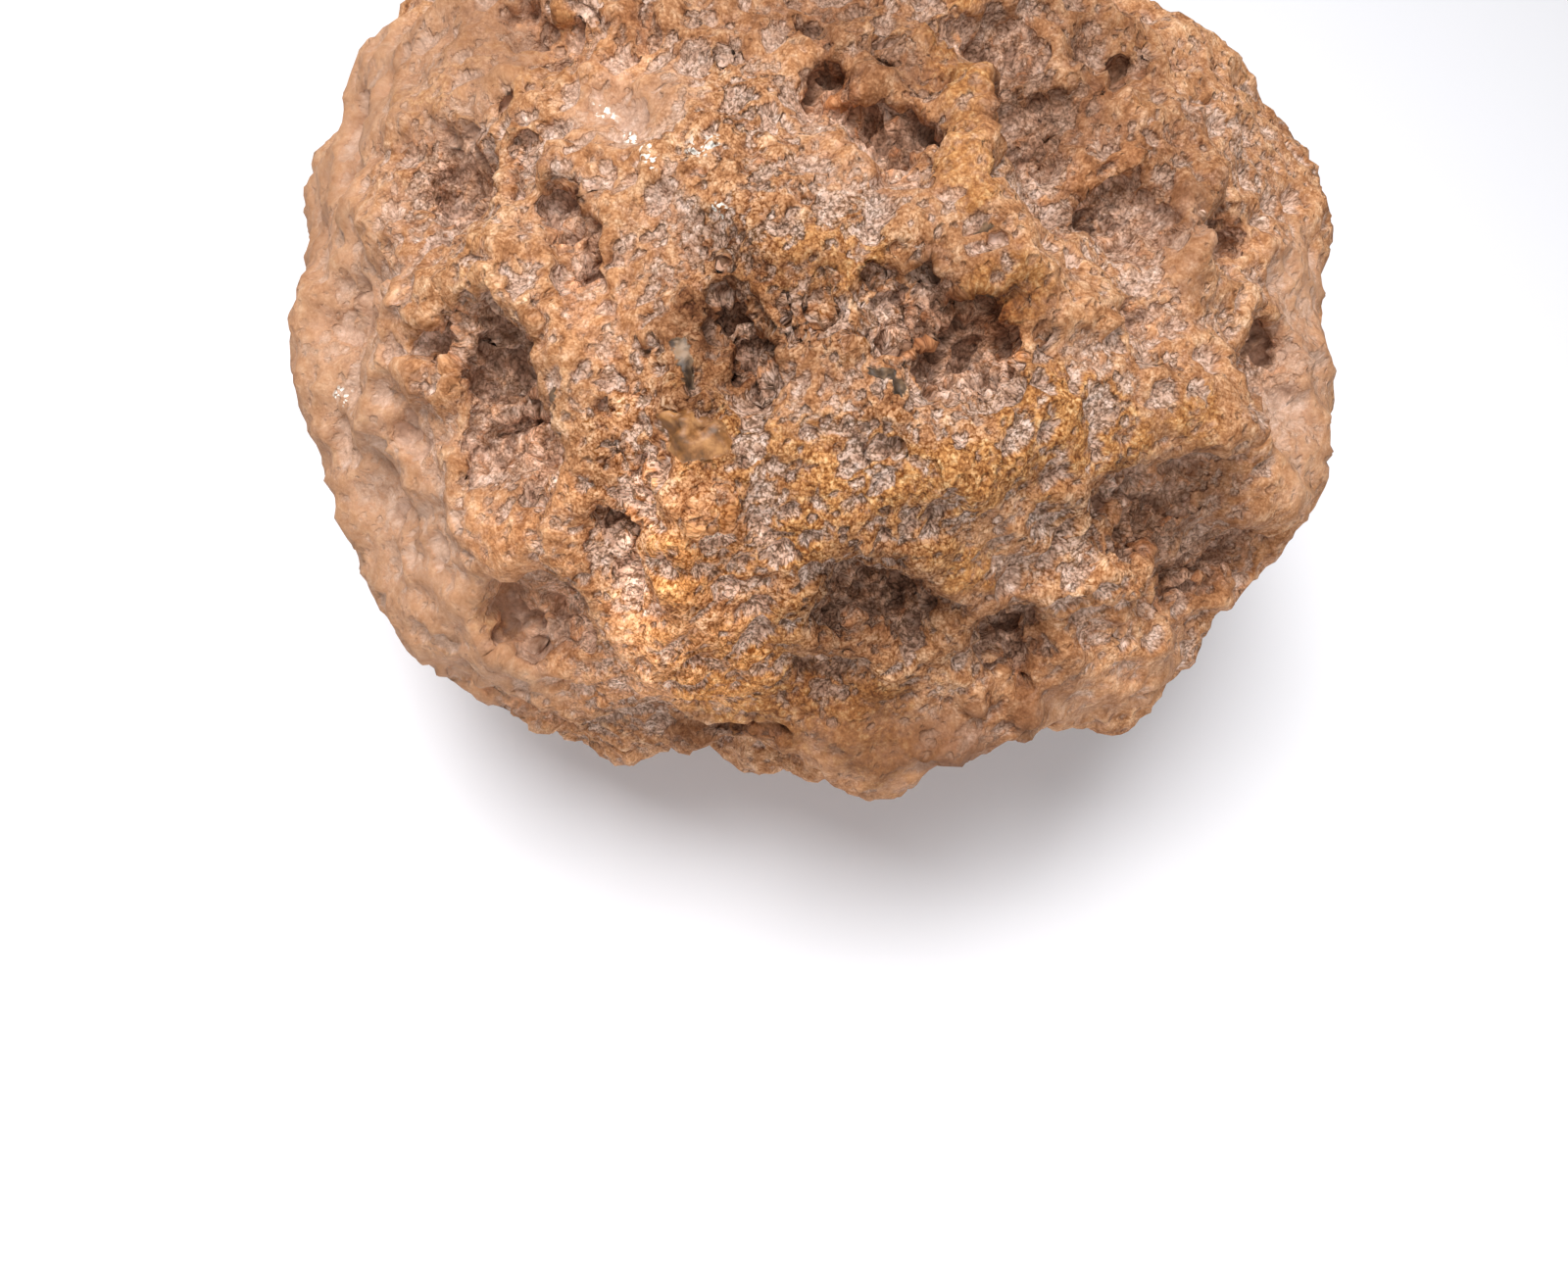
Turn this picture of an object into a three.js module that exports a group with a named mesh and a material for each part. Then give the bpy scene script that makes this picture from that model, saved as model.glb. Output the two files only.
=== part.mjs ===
// An unopened geode: one closed nodule of weathered stone.
//
// The nodule is a slightly squashed ball. Broad swellings and hollows shape it, ridges run between
// the hollows, and its underside is worn flat where it rests. It is one solid, because an unopened
// geode shows nothing of its inside.
//
// Millimetres, +Z up, -Y is the front. The origin is the middle of the base.
// A place on the stone is given by two angles about its middle, in degrees: the turn goes round
// from the front (0) towards +X (90), and the lift goes up from the level (0) to the top (90).

import * as THREE from "three";

// Driving dimensions.
const WIDTH = 198; // along X
const DEPTH = 180; // along Y
const HEIGHT = 139; // along Z, from the worn base to the top
const BASE_WEAR = 4; // height that is worn off the underside
const EDGE_DIVISIONS = 21; // cuts in each edge of the icosahedron that becomes the stone
const CROWDING = 0.22; // how far the faces crowd towards the shaped side, 0 for evenly spread

const HALF_AXES = new THREE.Vector3(WIDTH / 2, DEPTH / 2, (HEIGHT + BASE_WEAR) / 2);

// Swellings and ridges: each follows a run of places, and rises by `rise` over its line, fading
// out over `reach` to the sides.
const SWELLINGS = [
  { name: "front nose", run: [[13, 39]], reach: 26, rise: 4 },
  { name: "nose ridge", run: [[-9, 40], [-5, 29], [-2, 12]], reach: 8, rise: 3.6 },
  { name: "front shoulder", run: [[26, 42], [48, 39], [61, 31]], reach: 8, rise: 4.4 },
  { name: "brow", run: [[-43, 58], [-2, 63], [34, 57]], reach: 9, rise: 2.6 },
  { name: "long ridge", run: [[65, 74], [38, 64], [43, 56], [52, 45], [60, 34]], reach: 4.5, rise: 4 },
  { name: "left ridge", run: [[-48, 49], [-33, 40], [-21, 34], [-16, 25]], reach: 6, rise: 3.6 },
  { name: "upper left ridge", run: [[-52, 26], [-47, 37], [-36, 43]], reach: 4.5, rise: 3 },
  { name: "left rim", run: [[-47, 30], [-45, 22], [-48, 8]], reach: 7, rise: 2.8 },
  { name: "lower left ridge", run: [[-30, 18], [-18, 23], [-7, 13]], reach: 5.5, rise: 3.6 },
  { name: "left flank", run: [[-56, 7], [-42, -2], [-20, -5]], reach: 15, rise: 6 },
  { name: "lower left lobe", run: [[-38, -2], [-24, -4]], reach: 20, rise: 5.5 },
  { name: "low left corner", run: [[-33, -2]], reach: 9, rise: 2 },
  { name: "lower right lobe", run: [[53, 2], [49, 0]], reach: 13, rise: 9 },
  { name: "bottom lobe", run: [[18, 2], [21, 1]], reach: 11, rise: 9.5 },
  { name: "undercut lip", run: [[-12, -14], [-5, -8]], reach: 9, rise: 4.5 },
  { name: "left lobe", run: [[-62, 14]], reach: 12, rise: 2 },
  { name: "right lobe", run: [[74, 13]], reach: 14, rise: 8 },
  { name: "right knob", run: [[86, 22]], reach: 7, rise: 2.2 },
  { name: "upper right lobe", run: [[112, 27], [103, 24]], reach: 14, rise: 4.8 },
  { name: "top right shoulder", run: [[121, 38]], reach: 12, rise: 1.6 },
  { name: "top left shoulder", run: [[-96, 24]], reach: 9, rise: 1.6 },
  { name: "valley bank", run: [[63, 30], [68, 16], [63, 10]], reach: 6, rise: 3 },
  { name: "valley divide", run: [[41, 21], [54, 17], [67, 16]], reach: 3.5, rise: 3.4 },
  { name: "basin rim", run: [[87, 45], [72, 46], [71, 41], [66, 37], [62, 31]], reach: 3.8, rise: 3 },
];

// Hollows: each is a bowl about a run of places, `reach` from its line to its rim, with a floor
// `deep` below the stone around it.
const HOLLOWS = [
  { name: "upper left bowl", run: [[-61, 38]], reach: 9.5, deep: 7 },
  { name: "upper left slot", run: [[-55, 47], [-50, 45]], reach: 4, deep: 4 },
  { name: "tall left pit", run: [[-42, 47], [-34, 44]], reach: 5.5, deep: 5.6 },
  { name: "top left pits", run: [[-84, 47], [-77, 53]], reach: 6, deep: 4.6 },
  { name: "left hollow", run: [[-35, 32], [-29, 26]], reach: 10, deep: 8.5 },
  { name: "left crescent", run: [[-44, 27]], reach: 5.5, deep: 4.4 },
  { name: "left dip", run: [[-42, 20], [-39, 21]], reach: 6, deep: 3.4 },
  { name: "left side dips", run: [[-59, 27], [-51, 36]], reach: 5, deep: 2.6 },
  { name: "far left dip", run: [[-59, 17], [-53, 16]], reach: 6.5, deep: 3.6 },
  { name: "left waist", run: [[-60, 0], [-50, 4]], reach: 7, deep: 3.6 },
  { name: "middle pit", run: [[-15, 25]], reach: 6, deep: 5.6 },
  { name: "lower left pit", run: [[-21, 11], [-19, 12]], reach: 7.5, deep: 7.5 },
  { name: "nose valley", run: [[-11, 22], [-13, 34]], reach: 5, deep: 2.6 },
  { name: "low left waist", run: [[-26, -2]], reach: 6, deep: 3 },
  { name: "centre pit, upper lobe", run: [[-10, 48]], reach: 6.2, deep: 8 },
  { name: "centre pit, lower lobe", run: [[-4, 45]], reach: 6.5, deep: 6 },
  { name: "paired pit, large", run: [[15, 55]], reach: 5.4, deep: 6 },
  { name: "paired pit, small", run: [[23, 56]], reach: 4.4, deep: 4 },
  { name: "round bowl", run: [[30, 48]], reach: 9.2, deep: 7 },
  { name: "top pit", run: [[-14, 78]], reach: 6, deep: 5 },
  { name: "crown pits", run: [[10, 75], [28, 74]], reach: 5.4, deep: 5 },
  { name: "crown dip", run: [[24, 69]], reach: 5.2, deep: 3.2 },
  { name: "right basin", run: [[80, 65], [68, 60], [70, 52]], reach: 10.5, deep: 5.4 },
  { name: "right basin, deep end", run: [[78, 68]], reach: 6.2, deep: 4.6 },
  { name: "behind the basin", run: [[108, 61], [102, 57]], reach: 6, deep: 4.6 },
  { name: "basin pit", run: [[74, 53], [73, 50]], reach: 6.5, deep: 4.4 },
  { name: "right side pit", run: [[84, 41]], reach: 7.8, deep: 6.4 },
  { name: "right slope dip", run: [[58, 45]], reach: 5.6, deep: 4 },
  { name: "far right slot", run: [[78, 29], [75, 27]], reach: 5.4, deep: 6.6 },
  { name: "far right floor", run: [[74, 23]], reach: 6.6, deep: 4 },
  { name: "upper valley", run: [[47, 27], [56, 26], [61, 25]], reach: 8.5, deep: 8 },
  { name: "lower valley", run: [[52, 17], [64, 13]], reach: 8, deep: 8.5 },
  { name: "right notch", run: [[55, 8]], reach: 6.5, deep: 5 },
  { name: "low front hollow", run: [[14, 24], [20, 23]], reach: 9, deep: 9 },
  { name: "low front floor", run: [[12, 13]], reach: 6.5, deep: 4 },
  { name: "low right pit", run: [[33, 17], [32, 15]], reach: 6.8, deep: 7 },
  { name: "low right dip", run: [[42, 18]], reach: 6.5, deep: 3.4 },
  { name: "undercut", run: [[0, -12], [10, -5]], reach: 10, deep: 11 },
  { name: "undercut gap", run: [[29, -2], [34, -4], [43, -8]], reach: 10, deep: 11 },
  { name: "crown back pit", run: [[101, 74]], reach: 8, deep: 5.4 },
  { name: "crown back dip", run: [[-100, 84]], reach: 6.6, deep: 3.2 },
  { name: "right shoulder pit", run: [[123, 52]], reach: 6, deep: 4.6 },
  { name: "top left notch", run: [[-98, 33]], reach: 9, deep: 4.4 },
  { name: "left side waist", run: [[-90, 14], [-78, 17], [-70, 18]], reach: 10, deep: 2.6 },
  { name: "right side waist", run: [[92, 14], [100, 16]], reach: 9, deep: 4.4 },
];

// The back and the underside carry the same relief, strewn by rule. Nothing is strewn where the
// runs above shape the stone, or under its resting face.
const SHAPED_SIDE = { turn: 14, lift: 44, spread: 60 };
const RESTING_SPREAD = 28; // degrees about straight down that stay free of hollows
const STREWN_HOLLOWS = { count: 130, reach: [4.5, 11], share: 0.6, seed: 5 };
const STREWN_SWELLINGS = { count: 40, reach: [9, 20], share: 0.26, seed: 23 };

// Roughness at three scales: wavelength and height in millimetres.
const ROUGHNESS = [
  { wave: 34, height: 2.6, seed: 71 },
  { wave: 16, height: 2, seed: 72 },
  { wave: 9, height: 1.1, seed: 73 },
];
const WARP = { wave: 13, height: 2.6, seed: 80 }; // bends the outline of every feature

const GOLDEN_ANGLE = Math.PI * (3 - Math.sqrt(5));

/** The unit vector at a turn and a lift. */
function direction([turn, lift]) {
  const t = THREE.MathUtils.degToRad(turn);
  const l = THREE.MathUtils.degToRad(lift);
  return new THREE.Vector3(Math.sin(t) * Math.cos(l), -Math.cos(t) * Math.cos(l), Math.sin(l));
}

/** The point of the smooth form, an ellipsoid about the stone's middle, in a direction. */
function smoothPoint(unit) {
  return unit.clone().multiplyScalar(1 / unit.clone().divide(HALF_AXES).length());
}

/** A repeatable number from 0 to 1 for three whole numbers and a seed. */
function hash(x, y, z, seed) {
  let h = Math.imul(x, 374761393) ^ Math.imul(y, 668265263) ^ Math.imul(z, 2147483647 - seed * 40503);
  h = Math.imul(h ^ (h >>> 13), 1274126177);
  h = Math.imul(h ^ (h >>> 16), 2246822519);
  return ((h ^ (h >>> 15)) >>> 0) / 4294967296;
}

/** Smooth gradient noise from about -1 to 1 at a point, on a lattice of unit cells. */
function noise(point, seed) {
  const cell = point.clone().floor();
  const part = point.clone().sub(cell);
  const ease = part.clone().multiply(part).multiply(part.clone().multiplyScalar(-2).addScalar(3));
  let sum = 0;
  for (let corner = 0; corner < 8; corner += 1) {
    const [i, j, k] = [corner & 1, (corner >> 1) & 1, corner >> 2];
    const weight =
      (i ? ease.x : 1 - ease.x) * (j ? ease.y : 1 - ease.y) * (k ? ease.z : 1 - ease.z);
    const at = [cell.x + i, cell.y + j, cell.z + k];
    const lift = THREE.MathUtils.radToDeg(Math.asin(2 * hash(...at, seed) - 1));
    const slope = direction([360 * hash(...at, seed + 100), lift]);
    sum += weight * slope.dot(part.clone().sub(new THREE.Vector3(i, j, k)));
  }
  return 1.6 * sum;
}

/** A run of places as line segments on the smooth form. A single place is a segment of no length. */
function segments(run) {
  const points = run.map((place) => smoothPoint(direction(place)));
  if (points.length === 1) points.push(points[0].clone());
  return points.slice(1).map((end, i) => new THREE.Line3(points[i], end));
}

/** The least distance from a point to any of some segments. */
function distanceTo(lines, point) {
  const nearest = new THREE.Vector3();
  return Math.min(
    ...lines.map((line) => line.closestPointToPoint(point, true, nearest).distanceTo(point)),
  );
}

/** The height of a swelling at a distance from its line, as a share of its rise. */
function swell(distance, reach) {
  return Math.exp(-((distance / reach) ** 2));
}

/** The depth of a bowl at a distance from its line, as a share: a floor, a wall and a low rim. */
function bowl(distance, reach) {
  const t = distance / reach;
  const wall = 1 - THREE.MathUtils.smoothstep(t, 0.35, 1.05);
  const rim = Math.exp(-(((t - 1.3) / 0.3) ** 2));
  return wall - 0.14 * rim;
}

/** Features spread evenly over the hidden sides, with repeatable sizes. */
function strewn({ count, reach, share, seed }, restingSpread) {
  const shaped = direction([SHAPED_SIDE.turn, SHAPED_SIDE.lift]);
  const shapedCosine = Math.cos(THREE.MathUtils.degToRad(SHAPED_SIDE.spread));
  const restingCosine = Math.cos(THREE.MathUtils.degToRad(restingSpread));
  const made = [];
  for (let i = 0; i < count; i += 1) {
    const sine = 1 - (2 * (i + 0.5)) / count;
    const turn = THREE.MathUtils.radToDeg(i * GOLDEN_ANGLE) + 14 * hash(i, 1, 0, seed);
    const lift = THREE.MathUtils.radToDeg(Math.asin(sine)) + 8 * (hash(i, 2, 0, seed) - 0.5);
    const unit = direction([turn, lift]);
    if (unit.dot(shaped) > shapedCosine || -unit.z > restingCosine) continue;
    const size = THREE.MathUtils.lerp(reach[0], reach[1], hash(i, 3, 0, seed) ** 2);
    const stretch = 12 * hash(i, 4, 0, seed);
    made.push({
      run: [[turn, lift], [turn + stretch, lift + stretch * (hash(i, 5, 0, seed) - 0.5)]],
      reach: size,
      amount: share * size * (0.7 + 0.6 * hash(i, 6, 0, seed)),
    });
  }
  return made;
}

/** Every feature with its segments, its signed height and its profile. */
function features() {
  const swellings = [
    ...SWELLINGS.map(({ run, reach, rise }) => ({ run, reach, amount: rise })),
    ...strewn(STREWN_SWELLINGS, 0),
  ];
  const hollows = [
    ...HOLLOWS.map(({ run, reach, deep }) => ({ run, reach, amount: deep })),
    ...strewn(STREWN_HOLLOWS, RESTING_SPREAD),
  ];
  return [
    ...swellings.map((f) => ({ lines: segments(f.run), reach: f.reach, height: f.amount, profile: swell })),
    ...hollows.map((f) => ({ lines: segments(f.run), reach: f.reach, height: -f.amount, profile: bowl })),
  ];
}

/** How far the stone stands out from its smooth form at a point of that form. */
function relief(point, all) {
  const warp = [0, 1, 2].map(
    (axis) => WARP.height * noise(point.clone().divideScalar(WARP.wave), WARP.seed + axis),
  );
  const warped = point.clone().add(new THREE.Vector3(...warp));
  let height = 0;
  for (const { lines, reach, height: amount, profile } of all) {
    const distance = distanceTo(lines, warped);
    if (distance < 3 * reach) height += amount * profile(distance, reach);
  }
  for (const { wave, height: amount, seed } of ROUGHNESS) {
    height += amount * noise(point.clone().divideScalar(wave), seed);
  }
  return height;
}

/** Fits the stone's box to the driving dimensions, with its base on z = 0. */
function fitToSize(geometry) {
  geometry.computeBoundingBox();
  const box = geometry.boundingBox;
  const size = box.getSize(new THREE.Vector3());
  const middle = box.getCenter(new THREE.Vector3());
  geometry.translate(-middle.x, -middle.y, -box.min.z);
  geometry.scale(WIDTH / size.x, DEPTH / size.y, (HEIGHT + BASE_WEAR) / size.z);
  return geometry.translate(0, 0, -BASE_WEAR);
}

/** Wears the underside flat at z = 0. */
function wearBase(geometry) {
  const position = geometry.getAttribute("position");
  for (let i = 0; i < position.count; i += 1) {
    position.setZ(i, Math.max(position.getZ(i), 0));
  }
  return geometry;
}

/** The geode's closed surface. */
function geodeGeometry() {
  const geometry = new THREE.IcosahedronGeometry(1, EDGE_DIVISIONS);
  geometry.deleteAttribute("normal");
  geometry.deleteAttribute("uv");
  const position = geometry.getAttribute("position");
  const all = features();
  const crowd = direction([SHAPED_SIDE.turn, SHAPED_SIDE.lift]).multiplyScalar(CROWDING);
  const known = new Map();
  for (let i = 0; i < position.count; i += 1) {
    const unit = new THREE.Vector3().fromBufferAttribute(position, i).normalize();
    unit.add(crowd).normalize();
    const key = unit.toArray().map((value) => value.toFixed(5)).join(" ");
    if (!known.has(key)) {
      const point = smoothPoint(unit);
      known.set(key, point.addScaledVector(unit, relief(point, all)));
    }
    position.setXYZ(i, ...known.get(key).toArray());
  }
  return wearBase(fitToSize(geometry));
}

const rind = new THREE.MeshStandardMaterial({ color: 0xb07a4e, roughness: 0.85, metalness: 0 });
const geode = new THREE.Mesh(geodeGeometry(), rind);
geode.name = "geode";
geode.geometry.computeVertexNormals();

const model = new THREE.Group();
model.add(geode);

export default model;
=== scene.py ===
"""The look of an unopened geode: a nodule of weathered stone with a pitted, crusted rind.

The stone's solid gives the size, the place and the broad form. This file refines a copy of it into
a dense surface, carves the named hollows, ridges and cracks, adds the finer weathering by rule, and
dresses the result in one rind material.

Sizes are in millimetres unless a name says otherwise, and the Blender scene is in metres. Places on
the shown side are given in the camera's own frame, as (x, y) of a picture 1600 wide and 1299 high.
"""

import logging
import math
from dataclasses import dataclass
from enum import Enum

import bmesh
import bpy
import numpy as np
from mathutils import Matrix, Vector
from mathutils.bvhtree import BVHTree


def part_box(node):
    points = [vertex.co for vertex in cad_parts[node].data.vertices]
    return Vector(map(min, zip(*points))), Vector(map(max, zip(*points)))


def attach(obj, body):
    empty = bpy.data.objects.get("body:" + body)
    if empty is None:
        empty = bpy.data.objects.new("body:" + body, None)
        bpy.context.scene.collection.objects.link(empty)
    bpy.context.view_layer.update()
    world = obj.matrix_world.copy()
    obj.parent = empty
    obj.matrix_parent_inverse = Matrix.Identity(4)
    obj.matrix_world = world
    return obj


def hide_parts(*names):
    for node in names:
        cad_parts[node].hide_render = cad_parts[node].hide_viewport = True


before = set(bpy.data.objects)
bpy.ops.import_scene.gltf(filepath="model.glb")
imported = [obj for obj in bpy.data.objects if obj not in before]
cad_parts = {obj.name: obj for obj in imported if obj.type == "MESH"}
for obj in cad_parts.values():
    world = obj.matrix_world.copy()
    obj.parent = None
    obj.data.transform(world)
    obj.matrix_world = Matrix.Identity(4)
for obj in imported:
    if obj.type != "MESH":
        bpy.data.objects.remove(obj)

LOG = logging.getLogger("geode")
MM = 0.001
NODE = "geode"

Pixel = tuple[float, float]
Colour = tuple[float, float, float]
Socket = bpy.types.NodeSocket
Feed = Socket | float | tuple[float, ...]


def linear(red: int, green: int, blue: int) -> Colour:
    """The linear colour of a display colour.

    Args:
        red: Red, 0 to 255.
        green: Green, 0 to 255.
        blue: Blue, 0 to 255.

    Returns:
        The three linear values from 0 to 1.
    """
    shares = (channel / 255 for channel in (red, green, blue))
    return tuple(s / 12.92 if s <= 0.04045 else ((s + 0.055) / 1.055) ** 2.4 for s in shares)


# Camera


@dataclass(frozen=True)
class StoneCamera:
    """The camera above the front of the stone, looking down and rolled a little to one side."""

    place: tuple[float, float, float] = (9.0, -139.0, 251.0)
    pitch_deg: float = 67.8
    roll_deg: float = 14.1
    picture_width: int = 1600
    picture_height: int = 1299
    focal_px: float = 1150.0
    sensor_width: float = 36.0
    nearest: float = 10.0

    def axes(self) -> tuple[Vector, Vector, Vector]:
        """The camera's right, up and forward directions.

        Returns:
            Three unit vectors in the stone's frame.
        """
        pitch, roll = math.radians(self.pitch_deg), math.radians(self.roll_deg)
        level_right = Vector((1, 0, 0))
        level_up = Vector((0, math.sin(pitch), math.cos(pitch)))
        forward = Vector((0, math.cos(pitch), -math.sin(pitch)))
        right = level_right * math.cos(roll) + level_up * math.sin(roll)
        up = level_up * math.cos(roll) - level_right * math.sin(roll)
        return right, up, forward

    def location(self) -> Vector:
        """The camera's place in metres."""
        return Vector(self.place) * MM

    def ray(self, pixel: Pixel) -> Vector:
        """The direction in which the camera sees a pixel.

        Args:
            pixel: The place in the picture, from its top left corner.

        Returns:
            A unit vector in the stone's frame.
        """
        right, up, forward = self.axes()
        across = (pixel[0] - self.picture_width / 2) / self.focal_px
        above = (self.picture_height / 2 - pixel[1]) / self.focal_px
        return (forward + right * across + up * above).normalized()

    def add(self) -> bpy.types.Object:
        """Makes the camera and gives it to the scene.

        Returns:
            The camera object.
        """
        data = bpy.data.cameras.new("stone_camera")
        data.sensor_width = self.sensor_width
        data.lens = self.sensor_width * self.focal_px / self.picture_width
        data.clip_start = self.nearest * MM
        camera = bpy.data.objects.new("stone_camera", data)
        right, up, forward = self.axes()
        turned = Matrix((right, up, -forward)).transposed().to_4x4()
        camera.matrix_world = Matrix.Translation(self.location()) @ turned
        bpy.context.scene.collection.objects.link(camera)
        bpy.context.scene.camera = camera
        return camera


# Landmarks on the shown side


@dataclass(frozen=True)
class Hollow:
    """A pit or dip carved about a run of places."""

    name: str
    run: tuple[Pixel, ...]
    reach: float
    deep: float


@dataclass(frozen=True)
class Ridge:
    """A swelling or ridge raised along a run of places."""

    name: str
    run: tuple[Pixel, ...]
    reach: float
    rise: float


class Tone(Enum):
    """What a stain does to the rind. The pale tone paints light on lit lumps, the deep tone paints shade in
    hollows, and the sparkle tone paints glints.
    """

    DUST = "dust"
    OCHRE = "ochre"
    GLASS = "glass"
    AMBER = "amber"
    SPARKLE = "sparkle"
    WORN = "worn"
    COARSE = "coarse"
    # painted light: lightens lit lumps, ridges and the nose
    PALE = "pale"
    # painted shade: darkens pits, bowls, the undercut and some broader darker regions
    DEEP = "deep"


@dataclass(frozen=True)
class Stain:
    """A change of finish, painted light and painted shade included, about a run of places. A negative
    strength takes the tone away.
    """

    tone: Tone
    run: tuple[Pixel, ...]
    reach: float
    strength: float


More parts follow.
